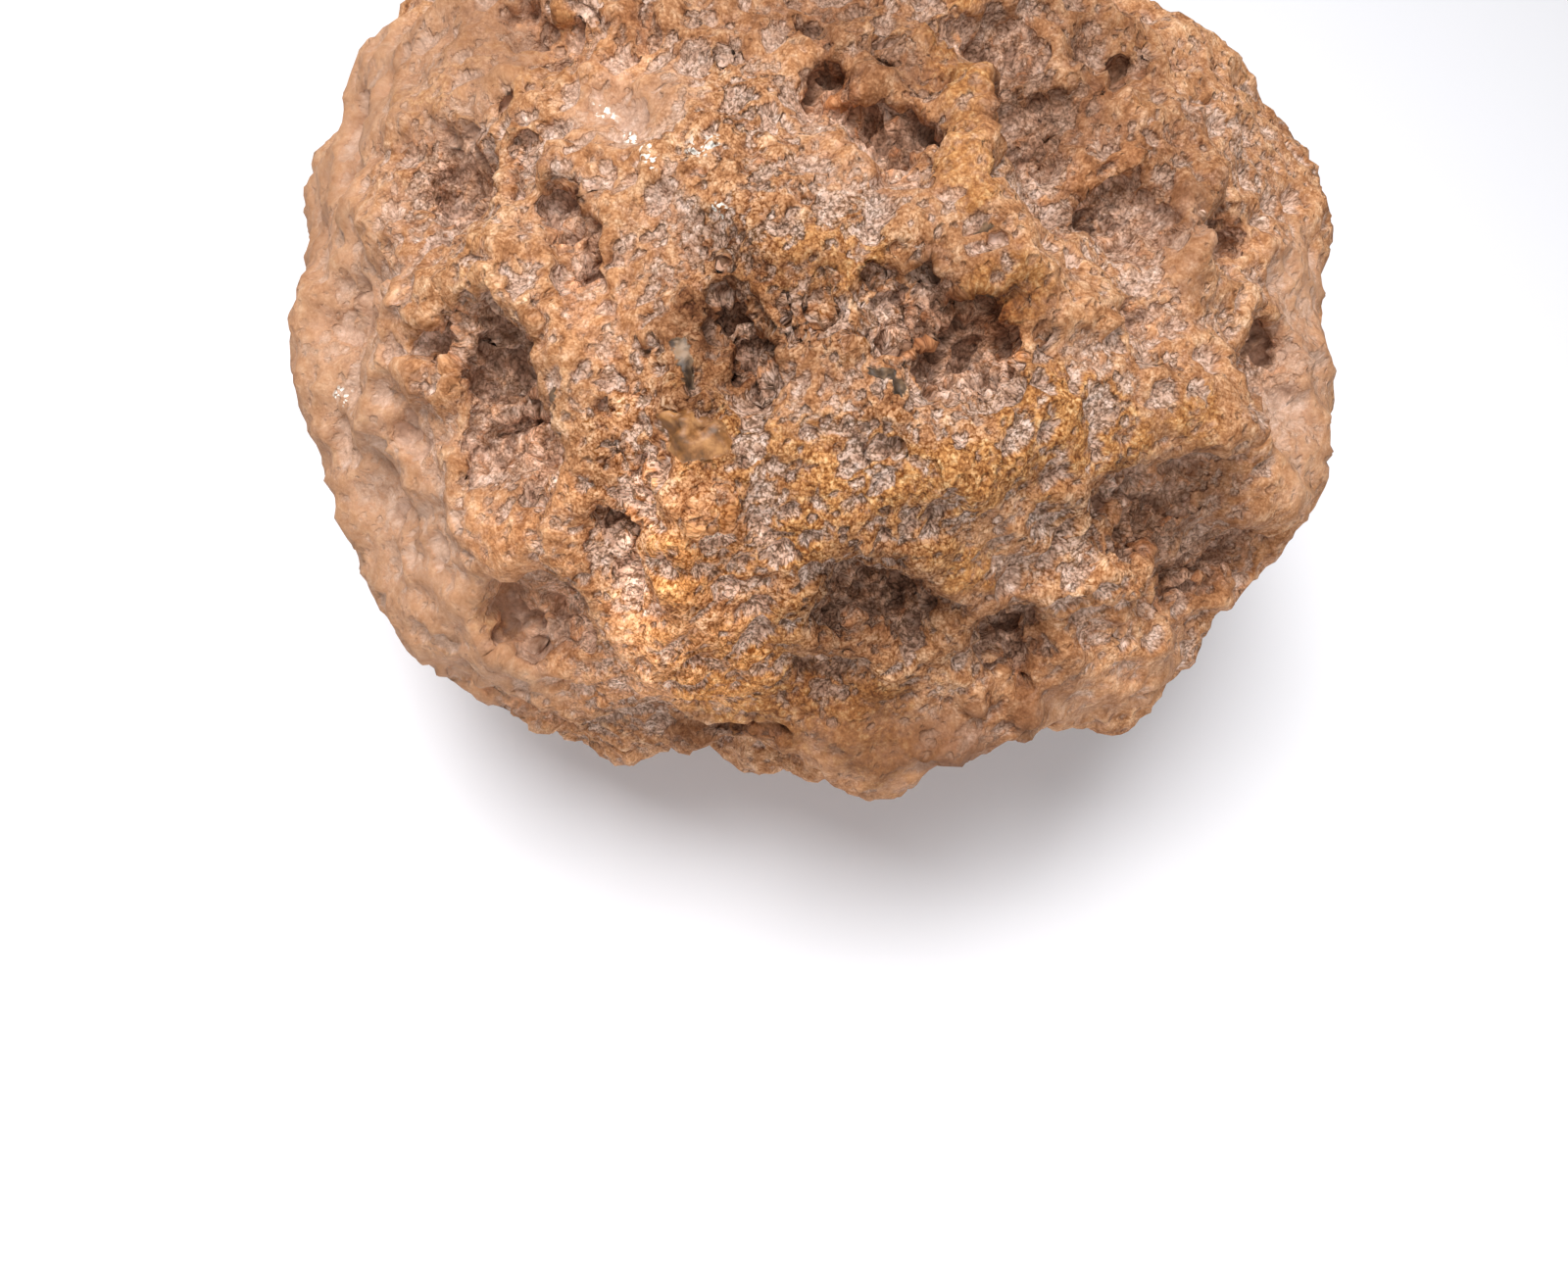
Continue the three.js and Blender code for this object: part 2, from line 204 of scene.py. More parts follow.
HOLLOWS = (
    Hollow("wide upper left bowl", ((428, 142), (462, 190)), 8.4, 2.0),
    Hollow("wide tall left pit", ((578, 222), (592, 264)), 5.2, 2.8),
    Hollow("wide left hollow", ((498, 350), (525, 432)), 10.0, 2.6),
    Hollow("wide left crescent", ((440, 350),), 4.0, 1.4),
    Hollow("wide middle pit", ((625, 532),), 4.2, 1.4),
    Hollow("wide lower left pit", ((528, 625), (565, 640)), 6.2, 2.6),
    Hollow("wide centre pit", ((738, 312), (778, 362)), 5.4, 0.8),
    Hollow("wide round bowl", ((950, 338), (980, 366)), 9.2, 3.8),
    Hollow("wide low front hollow", ((886, 612), (914, 626)), 8.4, 2.2),
    Hollow("wide low right pit", ((1022, 636), (1030, 680)), 5.2, 2.6),
    Hollow("wide upper valley", ((1155, 540), (1215, 512)), 6.8, 2.6),
    Hollow("wide lower valley", ((1200, 604), (1275, 566)), 6.6, 2.4),
    Hollow("wide right basin", ((1030, 118), (1050, 162)), 6.6, 2.4),
    Hollow("wide right basin's lower end", ((1100, 215), (1170, 240)), 6.0, 0.8),
    Hollow("wide right side pit", ((1258, 236),), 5.4, 1.6),
    Hollow("wide far right slot", ((1290, 345), (1292, 385)), 4.6, 2.2),
    Hollow("wide crown pit", ((846, 80),), 4.6, 1.8),
    Hollow("wide crown bowl", ((890, 122), (940, 134)), 4.8, 2.0),
    Hollow("wide top dip", ((905, 50), (955, 60)), 4.0, 1.2),
    Hollow("wide top basin", ((1030, 50), (1070, 30)), 5.0, 0.7),
    Hollow("wide top left pits", ((540, 20), (582, 34)), 5.2, 0.9),
    Hollow("upper left bowl", ((458, 180), (478, 198)), 3.2, 0.6),
    Hollow("upper left bowl's top", ((425, 130), (470, 135)), 2.4, 1.0),
    Hollow("upper left slot", ((526, 152), (524, 196)), 2.8, 2.2),
    Hollow("tall left pit", ((600, 218), (608, 274)), 2.8, 1.8),
    Hollow("tall left pit's side", ((564, 218), (568, 256)), 2.4, 1.4),
    Hollow("notch under the upper bowl", ((475, 212), (476, 222)), 1.3, 1.0),
    Hollow("left brow pricks", ((446, 250), (458, 250)), 1.4, 1.0),
    Hollow("left brow groove", ((394, 254), (396, 276)), 1.8, 1.1),
    Hollow("left brow step", ((404, 294), (418, 310)), 1.8, 1.1),
    Hollow("pit left of the tall one", ((482, 260), (498, 260)), 1.5, 1.0),
    Hollow("prick left of the tall pit", ((503, 284),), 1.2, 0.9),
    Hollow("left edge prick", ((370, 310),), 1.6, 0.9),
    Hollow("left edge dip", ((340, 360),), 2.2, 0.9),
    Hollow("left flank dip", ((388, 384),), 2.0, 0.9),
    Hollow("left crescent", ((454, 322), (446, 346)), 2.0, 2.0),
    Hollow("left crescent's floor", ((428, 362), (454, 360)), 2.4, 0.9),
    Hollow("left hollow's corner", ((546, 310), (556, 328)), 1.3, 1.2),
    Hollow("left hollow's head", ((508, 340), (545, 346)), 2.8, 1.4),
    Hollow("left hollow's middle", ((488, 385), (530, 396)), 3.0, 1.2),
    Hollow("left hollow's prick", ((497, 370),), 1.2, 1.0),
    Hollow("left hollow's foot", ((522, 438), (554, 430)), 1.9, 1.6),
    Hollow("left lower dip", ((478, 458), (492, 482)), 2.2, 1.3),
    Hollow("left dip", ((408, 445), (438, 452)), 2.8, 1.1),
    Hollow("left dip's prick", ((420, 426),), 1.4, 1.2),
    Hollow("pit column, first", ((606, 390), (622, 390)), 1.2, 1.3),
    Hollow("pit column, second", ((612, 414), (622, 420)), 1.3, 1.5),
    Hollow("pit column, third", ((612, 436),), 1.3, 1.3),
    Hollow("pit column, fourth", ((624, 454), (636, 466)), 1.6, 1.8),
    Hollow("pit beside the nose ridge", ((658, 360), (668, 374)), 1.5, 1.4),
    Hollow("three-cornered pit", ((548, 503), (556, 512)), 1.7, 2.0),
    Hollow("middle pit", ((612, 522), (638, 536)), 2.2, 1.8),
    Hollow("middle pit's deep end", ((645, 538),), 1.4, 2.0),
    Hollow("groove beside the nose", ((640, 600), (660, 470)), 2.4, 0.8),
    Hollow("lower left pit", ((522, 620), (542, 628)), 2.6, 2.4),
    Hollow("lower left pit's deep end", ((558, 614), (572, 622)), 1.9, 1.1),
    Hollow("lower left pit's foot", ((515, 652), (545, 664)), 2.4, 1.8),
    Hollow("lower left pit's tail", ((580, 650), (598, 660)), 1.8, 1.2),
    Hollow("lower left wedge", ((612, 658),), 1.5, 1.8),
    Hollow("low left prick", ((632, 687),), 1.3, 1.2),
    Hollow("second low left prick", ((612, 710),), 1.4, 1.1),
    Hollow("low left dip", ((470, 590),), 3.0, 0.9),
    Hollow("centre pit", ((730, 300), (745, 326)), 2.7, 1.2),
    Hollow("centre pit's deep end", ((750, 331),), 1.5, 2.0),
    Hollow("centre pit's foot", ((762, 356), (790, 362)), 2.2, 1.6),
    Hollow("centre pit's heel", ((744, 370), (752, 368)), 1.1, 1.6),
    Hollow("centre pit's dot", ((775, 395),), 1.0, 1.6),
    Hollow("centre pit's side", ((788, 310), (801, 327)), 1.6, 2.2),
    Hollow("pit right of the centre", ((812, 340), (823, 356)), 1.4, 1.7),
    Hollow("prick right of the centre", ((836, 345),), 1.0, 1.1),
    Hollow("slot right of the centre", ((842, 282), (834, 316)), 1.3, 1.6),
    Hollow("prick above the centre pit", ((735, 262),), 1.2, 1.5),
    Hollow("small pit above the nose", ((872, 340),), 1.4, 1.9),
    Hollow("paired pit", ((890, 283),), 2.0, 2.8),
    Hollow("paired pit's second lobe", ((914, 293),), 1.9, 2.2),
    Hollow("paired pit's neighbour", ((945, 276),), 1.9, 2.4),
    Hollow("paired pit's prick", ((918, 254),), 1.1, 1.3),
    Hollow("round bowl's head", ((952, 322), (985, 316)), 3.4, 2.2),
    Hollow("bead pit", ((1036, 308),), 1.4, 1.6),
    Hollow("second bead pit", ((1065, 337),), 1.2, 1.5),
    Hollow("third bead pit", ((1020, 372),), 1.0, 0.9),
    Hollow("prick above the bowl", ((1020, 243),), 1.1, 1.1),
    Hollow("second prick above the bowl", ((1080, 253),), 1.1, 1.1),
    Hollow("prick beside the long ridge", ((1093, 372),), 1.0, 0.9),
    Hollow("crack over the amber", ((686, 418), (715, 424), (745, 420)), 0.9, 1.3),
    Hollow("front prick", ((898, 457), (912, 460)), 1.4, 1.7),
    Hollow("lower front prick", ((905, 522),), 1.1, 1.2),
    Hollow("front dot", ((832, 505),), 0.9, 0.9),
    Hollow("low front hollow", ((896, 586), (926, 592)), 2.4, 1.6),
    Hollow("low front hollow's foot", ((858, 636), (874, 642)), 2.2, 1.8),
    Hollow("low front hollow's side", ((852, 600), (846, 625)), 1.9, 1.1),
    Hollow("low front crack", ((850, 668), (855, 692)), 1.0, 1.3),
    Hollow("low front dot", ((825, 730),), 1.0, 1.1),
    Hollow("nose dot", ((747, 607),), 1.2, 1.3),
    Hollow("undercut", ((716, 740), (750, 742), (795, 746)), 2.0, 3.2),
    Hollow("bottom left edge", ((488, 712), (540, 734), (590, 752)), 5.4, 4.0),
    Hollow("bottom left lobe", ((615, 762), (645, 768)), 4.0, 1.8),
    Hollow("low right pit", ((1010, 634), (1026, 642)), 2.1, 2.2),
    Hollow("low right pit's side", ((1010, 663),), 1.5, 1.6),
    Hollow("low right pit's foot", ((1030, 668), (1036, 690)), 3.4, 3.0),
    Hollow("low right dip", ((1110, 640), (1150, 640)), 3.4, 1.0),
    Hollow("upper valley's near end", ((1122, 508), (1150, 548)), 3.4, 2.4),
    Hollow("upper valley's dot", ((1172, 554),), 1.3, 1.3),
    Hollow("upper valley's head", ((1176, 500), (1205, 496)), 1.8, 1.0),
    Hollow("lower valley", ((1195, 590), (1235, 572), (1280, 556)), 2.6, 1.8),
    Hollow("lower valley's side", ((1186, 606), (1198, 630)), 2.4, 1.6),
    Hollow("lower valley's near end", ((1190, 580), (1235, 574)), 3.2, 1.6),
    Hollow("lower valley's foot", ((1195, 612), (1214, 602)), 3.2, 1.8),
    Hollow("valley divide's notch", ((1130, 566), (1168, 560)), 3.2, 1.8),
    Hollow("right notch", ((1212, 634), (1222, 644)), 1.7, 1.3),
    Hollow("right notch's dot", ((1195, 655),), 1.0, 0.9),
    Hollow("right basin's head", ((1020, 118), (1030, 146)), 2.3, 2.4),
    Hollow("right basin's second pit", ((1058, 110), (1058, 136)), 1.7, 1.8),
    Hollow("right basin's third pit", ((1078, 105), (1096, 96)), 1.7, 1.6),
    Hollow("right basin's arc", ((1012, 182), (1025, 163), (1055, 156), (1066, 141)), 1.2, 1.6),
    Hollow("right basin's pit", ((1112, 216), (1130, 196), (1152, 184)), 1.6, 1.0),
    Hollow("right basin's corner", ((1182, 238), (1197, 226)), 1.7, 1.6),
    Hollow("right basin's dot", ((1111, 238),), 1.3, 1.1),
    Hollow("right basin's second dot", ((1058, 219),), 1.2, 1.0),
    Hollow("right basin's third dot", ((1095, 220),), 1.0, 0.9),
    Hollow("spiky hole", ((1140, 66), (1141, 88)), 1.7, 2.4),
    Hollow("spiky hole's neighbour", ((1160, 70),), 1.5, 1.4),
    Hollow("far prick", ((1211, 58),), 1.1, 1.0),
    Hollow("right side pit", ((1244, 220), (1254, 245)), 3.2, 3.0),
    Hollow("right slope dip", ((1146, 318), (1162, 329)), 1.9, 1.7),
    Hollow("right slope floor", ((1165, 325), (1195, 330)), 2.4, 0.8),
    Hollow("far right slot", ((1289, 334), (1292, 366)), 2.3, 2.6),
    Hollow("far right prick", ((1314, 327),), 1.2, 0.9),
    Hollow("far right dot", ((1275, 450),), 1.2, 1.0),
    Hollow("top left pit", ((518, 16), (545, 10)), 2.1, 1.8),
    Hollow("top left pit's neighbour", ((560, 35), (585, 30)), 2.1, 1.6),
    Hollow("top left pit's third", ((576, 8), (596, 12)), 1.7, 1.3),
    Hollow("top left dip", ((545, 66), (572, 70)), 1.6, 1.2),
    Hollow("top left prick", ((512, 99),), 1.7, 1.5),
    Hollow("second top left prick", ((542, 90),), 1.5, 1.3),
    Hollow("top rough", ((658, 14), (663, 45)), 1.9, 1.4),
    Hollow("top prick", ((725, 15),), 1.4, 1.1),
    Hollow("second top prick", ((737, 52),), 1.1, 1.0),
    Hollow("crown pit", ((843, 80), (857, 92)), 2.3, 2.2),
    Hollow("crown pit's upper neighbour", ((824, 30), (840, 44)), 2.0, 1.6),
    Hollow("crown prick", ((907, 60),), 1.3, 1.4),
    Hollow("second crown prick", ((965, 78),), 1.6, 1.5),
    Hollow("third crown prick", ((930, 40),), 1.4, 1.2),
    Hollow("crown pit's neighbour", ((882, 120), (892, 132)), 2.0, 2.0),
    Hollow("crown bowl", ((940, 136), (955, 144)), 2.1, 2.2),
    Hollow("crown bowl's side", ((915, 115), (936, 122)), 1.9, 1.3),
    Hollow("crown dip", ((912, 170), (940, 190)), 2.3, 1.1),
    Hollow("brow crack", ((742, 188), (772, 158)), 0.9, 0.9),
    Hollow("second brow crack", ((692, 184), (728, 162)), 0.9, 0.8),
    Hollow("top basin", ((1040, 35), (1065, 50)), 3.0, 1.0),
    Hollow("top dip", ((960, 30), (985, 22)), 2.2, 1.3),
    Hollow("top right pit", ((1180, 20),), 2.4, 1.4),
)

RIDGES = (
    Ridge("nose ridge", ((705, 430), (700, 560), (700, 700)), 3.0, 0.7),
    Ridge("long ridge", ((1003, 90), (1005, 190), (1060, 262), (1150, 350), (1240, 420)), 2.0, 1.0),
    Ridge("tall pit's rib", ((592, 204), (578, 256)), 1.2, 1.4),
    Ridge("crown saddle", ((866, 104), (880, 96)), 2.4, 3.2),
    Ridge("round bowl's shoulder", ((1030, 342), (1040, 352)), 3.2, 1.2),
    Ridge("upper valley's brow", ((1190, 452), (1250, 450)), 3.6, 1.8),
    Ridge("right basin's step", ((1082, 196), (1110, 176), (1150, 166)), 2.6, 1.4),
    Ridge("left brow ridge", ((440, 300), (480, 250)), 1.7, 0.9),
    Ridge("ridge under the crescent", ((400, 400), (470, 395)), 1.8, 1.0),
    Ridge("crescent's lip", ((410, 377), (440, 376), (466, 368)), 1.2, 0.9),
    Ridge("left hollow's inner ridge", ((515, 430), (540, 400)), 1.4, 1.2),
    Ridge("left hollow's rim", ((575, 330), (583, 390), (565, 450)), 2.0, 0.8),
    Ridge("centre pit's wall", ((703, 305), (711, 350), (726, 384)), 1.2, 1.2),
    Ridge("centre pit's inner ridge", ((734, 382), (743, 362), (757, 346)), 1.1, 1.8),
    Ridge("round bowl's rim", ((950, 305), (932, 340), (925, 372)), 1.4, 1.1),
    Ridge("round bowl's far rim", ((1030, 322), (1050, 360), (1045, 402)), 1.4, 0.9),
    Ridge("fan, first fold", ((712, 545), (708, 520), (716, 500)), 0.8, 0.8),
    Ridge("fan, second fold", ((724, 548), (722, 505)), 0.8, 0.8),
    Ridge("fan, third fold", ((735, 545), (742, 520), (738, 500)), 0.8, 0.8),
    Ridge("undercut's lip", ((690, 752), (740, 760), (800, 765)), 2.2, 1.3),
    Ridge("undercut's lip, left end", ((696, 750), (714, 754)), 3.2, 1.3),
    Ridge("low front hollow's right shoulder", ((966, 592), (984, 612)), 3.4, 2.0),
    Ridge("bottom lobe's right shoulder", ((975, 755), (1005, 742), (1040, 730)), 4.6, 4.2),
    Ridge("valley divide", ((1100, 600), (1150, 576), (1185, 562), (1285, 517)), 1.6, 0.7),
    Ridge("right pit's rim", ((1216, 200), (1222, 258), (1238, 290)), 2.6, 0.8),
    Ridge("spiky hole's edge", ((1128, 68), (1130, 92)), 0.9, 1.0),
    Ridge("top block", ((688, 14), (690, 36)), 1.7, 1.2),
)

# Stains of the rind, together with painted light on lit lumps, painted shade in hollows and painted glints
STAINS = {
    "left side": (
        Stain(Tone.DEEP, ((385, 80), (345, 200)), 16, 0.12),
        Stain(Tone.SPARKLE, ((345, 405),), 1.4, 1.0),
        Stain(Tone.WORN, ((330, 180), (310, 360), (360, 520), (420, 640)), 30, 0.75),
    ),
    "top left": (
        Stain(Tone.DEEP, ((440, 40), (480, 90)), 14, 0.14),
        Stain(Tone.DEEP, ((500, 30), (600, 30)), 10, 0.4),
        Stain(Tone.OCHRE, ((450, 80), (540, 60)), 12, 0.4),
        Stain(Tone.PALE, ((585, 30), (640, 60)), 7, 0.35),
        Stain(Tone.SPARKLE, ((612, 108), (625, 118)), 1.4, 1.0),
        Stain(Tone.WORN, ((400, 60), (480, 60)), 16, 0.6),
        Stain(Tone.WORN, ((620, 110), (680, 100)), 7, 0.6),
    ),
    "upper left bowl": (
        Stain(Tone.DEEP, ((430, 140), (470, 190)), 8, 0.3),
        Stain(Tone.DUST, ((400, 210), (450, 250)), 7, 0.4),
        Stain(Tone.DUST, ((445, 150), (465, 190)), 6, 0.5),
    ),
    "tall left pit": (
        Stain(Tone.DEEP, ((590, 215), (605, 265)), 4, 0.25),
        Stain(Tone.DEEP, ((590, 205), (595, 255)), 3, 0.4),
        Stain(Tone.DEEP, ((527, 155), (525, 195)), 3, 0.25),
        Stain(Tone.DUST, ((500, 225), (560, 230)), 4, 0.4),
        Stain(Tone.DUST, ((590, 210), (600, 260)), 4, 0.5),
        Stain(Tone.PALE, ((600, 250), (610, 350)), 5, 0.2),
        Stain(Tone.SPARKLE, ((636, 128), (642, 136)), 1.0, 1.0),
    ),
    "left hollow": (
        Stain(Tone.DEEP, ((510, 345), (535, 400), (540, 440)), 8, 0.45),
        Stain(Tone.DUST, ((500, 460), (540, 455)), 4, 0.6),
        Stain(Tone.DUST, ((440, 362), (540, 314)), 3, 0.5),
        Stain(Tone.DUST, ((510, 345), (535, 400), (540, 440)), 8, 0.3),
        Stain(Tone.DUST, ((510, 340), (540, 430)), 10, 0.6),
        Stain(Tone.DUST, ((420, 420), (480, 470), (540, 480)), 9, 0.45),
        Stain(Tone.GLASS, ((560, 405),), 1.7, 1.0),
        Stain(Tone.PALE, ((565, 465), (578, 490)), 5, 0.5),
    ),
    "lower left": (
        Stain(Tone.DEEP, ((615, 540), (640, 545)), 4, 0.3),
        Stain(Tone.DEEP, ((515, 660), (600, 662)), 5, 0.35),
        Stain(Tone.DEEP, ((540, 504),), 3, 0.45),
        Stain(Tone.DUST, ((620, 575),), 5, 0.7),
        Stain(Tone.DUST, ((400, 500), (440, 560)), 8, 0.3),
        Stain(Tone.OCHRE, ((510, 625),), 5, 0.6),
        Stain(Tone.PALE, ((640, 640), (600, 700)), 8, 0.4),
        Stain(Tone.PALE, ((490, 555), (570, 565)), 6, 0.35),
        Stain(Tone.PALE, ((650, 430), (665, 460)), 5, 0.3),
        Stain(Tone.PALE, ((575, 610), (590, 632)), 3.5, 0.4),
    ),
    "bottom edge": (
        Stain(Tone.COARSE, ((720, 700), (960, 660)), 10, 0.3),
        Stain(Tone.DEEP, ((655, 746), (790, 750)), 4, 0.4),
        Stain(Tone.DEEP, ((820, 730), (1000, 745)), 9, 0.5),
        Stain(Tone.DEEP, ((900, 775), (965, 757)), 6, 0.4),
        Stain(Tone.DEEP, ((870, 740), (1000, 760)), 8, 0.4),
        Stain(Tone.DEEP, ((695, 746), (800, 751)), 2.4, 0.9),
        Stain(Tone.DUST, ((720, 710), (870, 740), (960, 765)), 14, -0.45),
        Stain(Tone.DUST, ((1080, 700), (1160, 720)), 10, -0.3),
        Stain(Tone.OCHRE, ((740, 720), (870, 740), (930, 790)), 10, 0.5),
        Stain(Tone.WORN, ((870, 775), (960, 765)), 10, 0.5),
        Stain(Tone.WORN, ((1080, 720), (1190, 690)), 9, 0.35),
    ),
    "top edge": (
        Stain(Tone.DEEP, ((700, 15), (840, 30)), 10, 0.4),
        Stain(Tone.DEEP, ((930, 50), (970, 90)), 7, 0.25),
        Stain(Tone.DEEP, ((895, 60), (915, 58)), 4, 0.4),
        Stain(Tone.DEEP, ((900, 20), (1120, 30)), 14, 0.5),
        Stain(Tone.DUST, ((980, 20), (1080, 40)), 10, 0.3),
        Stain(Tone.OCHRE, ((975, 10), (985, 180)), 5, 0.5),
        Stain(Tone.PALE, ((980, 30),), 5, 0.3),
    ),
    "crown": (
        Stain(Tone.DEEP, ((850, 90), (930, 130)), 6, 0.2),
        Stain(Tone.DEEP, ((912, 148),), 3, 0.4),
        Stain(Tone.DEEP, ((845, 82), (860, 90)), 4, 0.5),
        Stain(Tone.DEEP, ((890, 125), (950, 140)), 4, 0.4),
        Stain(Tone.DUST, ((830, 90), (850, 180)), 8, 0.5),
        Stain(Tone.DUST, ((800, 200), (900, 230)), 10, 0.3),
        Stain(Tone.PALE, ((868, 104),), 3, 0.35),
        Stain(Tone.PALE, ((830, 100), (870, 112)), 4, 0.4),
    ),
    "brow": (
        Stain(Tone.COARSE, ((720, 100), (760, 200)), 10, 0.5),
        Stain(Tone.DEEP, ((720, 255), (740, 270)), 5, 0.25),
        Stain(Tone.DEEP, ((940, 210), (1000, 290)), 7, 0.25),
        Stain(Tone.OCHRE, ((770, 260), (860, 262)), 6, 0.5),
        Stain(Tone.SPARKLE, ((735, 215),), 1.5, 1.0),
        Stain(Tone.SPARKLE, ((720, 145),), 3.0, 0.6),
    ),
    "centre pit": (
        Stain(Tone.COARSE, ((760, 300), (860, 280)), 12, 0.6),
        Stain(Tone.DEEP, ((700, 330), (712, 400)), 4, 0.4),
        Stain(Tone.DEEP, ((822, 300), (832, 350)), 7, 0.4),
        Stain(Tone.DEEP, ((712, 335), (738, 375)), 5, 0.4),
        Stain(Tone.DEEP, ((745, 320), (780, 360)), 9, 0.5),
        Stain(Tone.DUST, ((722, 365),), 1.8, 0.9),
        Stain(Tone.GLASS, ((694, 356), (708, 390)), 1.4, 1.0),
        Stain(Tone.PALE, ((765, 305), (765, 325)), 3, 0.3),
        Stain(Tone.SPARKLE, ((661, 153), (668, 168)), 1.2, 1.0),
    ),
    "nose": (
        Stain(Tone.AMBER, ((695, 440), (738, 452)), 3.0, 1.0),
        Stain(Tone.COARSE, ((690, 480), (700, 620), (800, 560), (900, 520)), 18, 0.8),
        Stain(Tone.DEEP, ((715, 400), (728, 500)), 6, 0.35),
        Stain(Tone.DEEP, ((735, 610), (790, 690)), 10, 0.25),
        Stain(Tone.DUST, ((768, 420),), 3.2, 0.9),
        Stain(Tone.DUST, ((775, 500), (775, 550)), 3.6, 0.8),
        Stain(Tone.OCHRE, ((745, 580), (740, 690)), 12, 0.45),
        Stain(Tone.OCHRE, ((715, 400), (735, 470)), 6, 0.4),
        Stain(Tone.PALE, ((700, 570), (700, 700)), 15, 0.8),
        Stain(Tone.PALE, ((690, 560), (700, 620)), 5, 0.3),
        Stain(Tone.PALE, ((692, 572),), 4, 0.4),
    ),
    "low front hollow": (
        Stain(Tone.DEEP, ((850, 645), (910, 655)), 5, 0.3),
        Stain(Tone.DEEP, ((870, 600), (930, 612)), 6, 0.3),
        Stain(Tone.DEEP, ((870, 620), (960, 630)), 13, 0.5),
        Stain(Tone.DEEP, ((900, 590), (925, 592)), 2.6, 0.5),
        Stain(Tone.OCHRE, ((995, 580),), 6, 0.8),
        Stain(Tone.PALE, ((830, 684),), 4, 0.4),
    ),
    "low right pit": (
        Stain(Tone.DEEP, ((1026, 672),), 5, 0.3),
        Stain(Tone.DEEP, ((1020, 640), (1030, 690)), 5, 0.35),
        Stain(Tone.DEEP, ((1048, 660), (1066, 712)), 6, 0.4),
    ),
    "round bowl": (
        Stain(Tone.DEEP, ((950, 335), (985, 355)), 7, 0.25),
        Stain(Tone.DEEP, ((950, 330), (965, 340)), 4.5, 0.35),
        Stain(Tone.DEEP, ((936, 330), (952, 345)), 4, 0.4),
        Stain(Tone.DEEP, ((1035, 308), (1062, 314)), 3, 0.45),
        Stain(Tone.DEEP, ((965, 318), (1000, 325)), 4.5, 0.3),
        Stain(Tone.DEEP, ((970, 330), (1020, 350)), 10, 0.35),
        Stain(Tone.DUST, ((965, 380), (1020, 380)), 6, 0.8),
        Stain(Tone.DUST, ((885, 320), (900, 335)), 3.0, 0.7),
        Stain(Tone.DUST, ((1060, 380), (1160, 400)), 8, 0.25),
        Stain(Tone.DUST, ((950, 335), (990, 375)), 7, 0.25),
        Stain(Tone.GLASS, ((888, 380), (912, 380), (920, 396)), 1.0, 0.9),
        Stain(Tone.GLASS, ((1008, 303),), 0.9, 0.9),
        Stain(Tone.OCHRE, ((1000, 295), (1045, 300)), 4, 0.6),
        Stain(Tone.PALE, ((1026, 345),), 4, 0.35),
        Stain(Tone.PALE, ((1010, 345), (1030, 352)), 3.5, 0.3),
    ),
    "front": (
        Stain(Tone.COARSE, ((1060, 420), (1120, 560)), 12, 0.5),
        Stain(Tone.DEEP, ((890, 548), (950, 560)), 6, 0.3),
        Stain(Tone.DUST, ((815, 415),), 2.4, 0.8),
        Stain(Tone.DUST, ((862, 425),), 2.6, 0.9),
        Stain(Tone.DUST, ((900, 475), (945, 430)), 4.5, 0.8),
        Stain(Tone.DUST, ((970, 420), (1050, 420)), 3.2, 0.9),
        Stain(Tone.DUST, ((905, 535), (955, 535)), 3.0, 0.8),
        Stain(Tone.OCHRE, ((1085, 430), (1125, 430)), 6, 0.8),
        Stain(Tone.OCHRE, ((930, 495), (1000, 495)), 6, 0.8),
        Stain(Tone.OCHRE, ((800, 470), (880, 520)), 12, 0.45),
        Stain(Tone.OCHRE, ((1060, 440), (1130, 450)), 9, 0.6),
    ),
    "right basin": (
        Stain(Tone.DEEP, ((1030, 125), (1085, 135)), 6, 0.4),
        Stain(Tone.DEEP, ((1110, 40), (1210, 160)), 11, 0.25),
        Stain(Tone.DEEP, ((1022, 122), (1045, 140)), 4, 0.45),
        Stain(Tone.DEEP, ((1075, 215),), 3, 0.4),
        Stain(Tone.DEEP, ((1040, 140), (1130, 200)), 11, 0.45),
        Stain(Tone.DUST, ((1025, 185), (1090, 180)), 4, 0.6),
        Stain(Tone.DUST, ((1130, 250), (1185, 255)), 8, 0.6),
        Stain(Tone.DUST, ((1040, 130), (1120, 200)), 9, 0.4),
        Stain(Tone.GLASS, ((1005, 231),), 0.9, 0.9),
        Stain(Tone.PALE, ((1100, 190),), 4, 0.25),
        Stain(Tone.PALE, ((1150, 166),), 3, 0.35),
    ),
    "right edge": (
        Stain(Tone.DEEP, ((1262, 222),), 4, 0.35),
        Stain(Tone.DEEP, ((1288, 345), (1292, 385)), 4, 0.3),
        Stain(Tone.DEEP, ((1205, 130), (1225, 180)), 5, 0.3),
        Stain(Tone.DEEP, ((1215, 215), (1222, 285)), 4, 0.35),
        Stain(Tone.DUST, ((1310, 425),), 6, 0.6),
        Stain(Tone.DUST, ((1320, 250), (1330, 400)), 12, 0.5),
        Stain(Tone.WORN, ((1330, 300), (1340, 460)), 12, 0.6),
        Stain(Tone.WORN, ((1212, 210), (1216, 280)), 4, 0.35),
    ),
    "upper valley": (
        Stain(Tone.DEEP, ((1225, 470), (1262, 512)), 7, 0.25),
        Stain(Tone.DEEP, ((1092, 480), (1120, 490)), 6, 0.3),
        Stain(Tone.DEEP, ((1160, 552), (1205, 540)), 5, 0.35),
        Stain(Tone.DEEP, ((1140, 545), (1215, 562)), 6, 0.4),
        Stain(Tone.DEEP, ((1125, 505), (1160, 545)), 5, 0.2),
        Stain(Tone.DEEP, ((1190, 510), (1250, 560)), 9, 0.2),
        Stain(Tone.DUST, ((1225, 470), (1262, 512)), 7, 0.4),
        Stain(Tone.DUST, ((1120, 500), (1200, 540)), 7, 0.4),
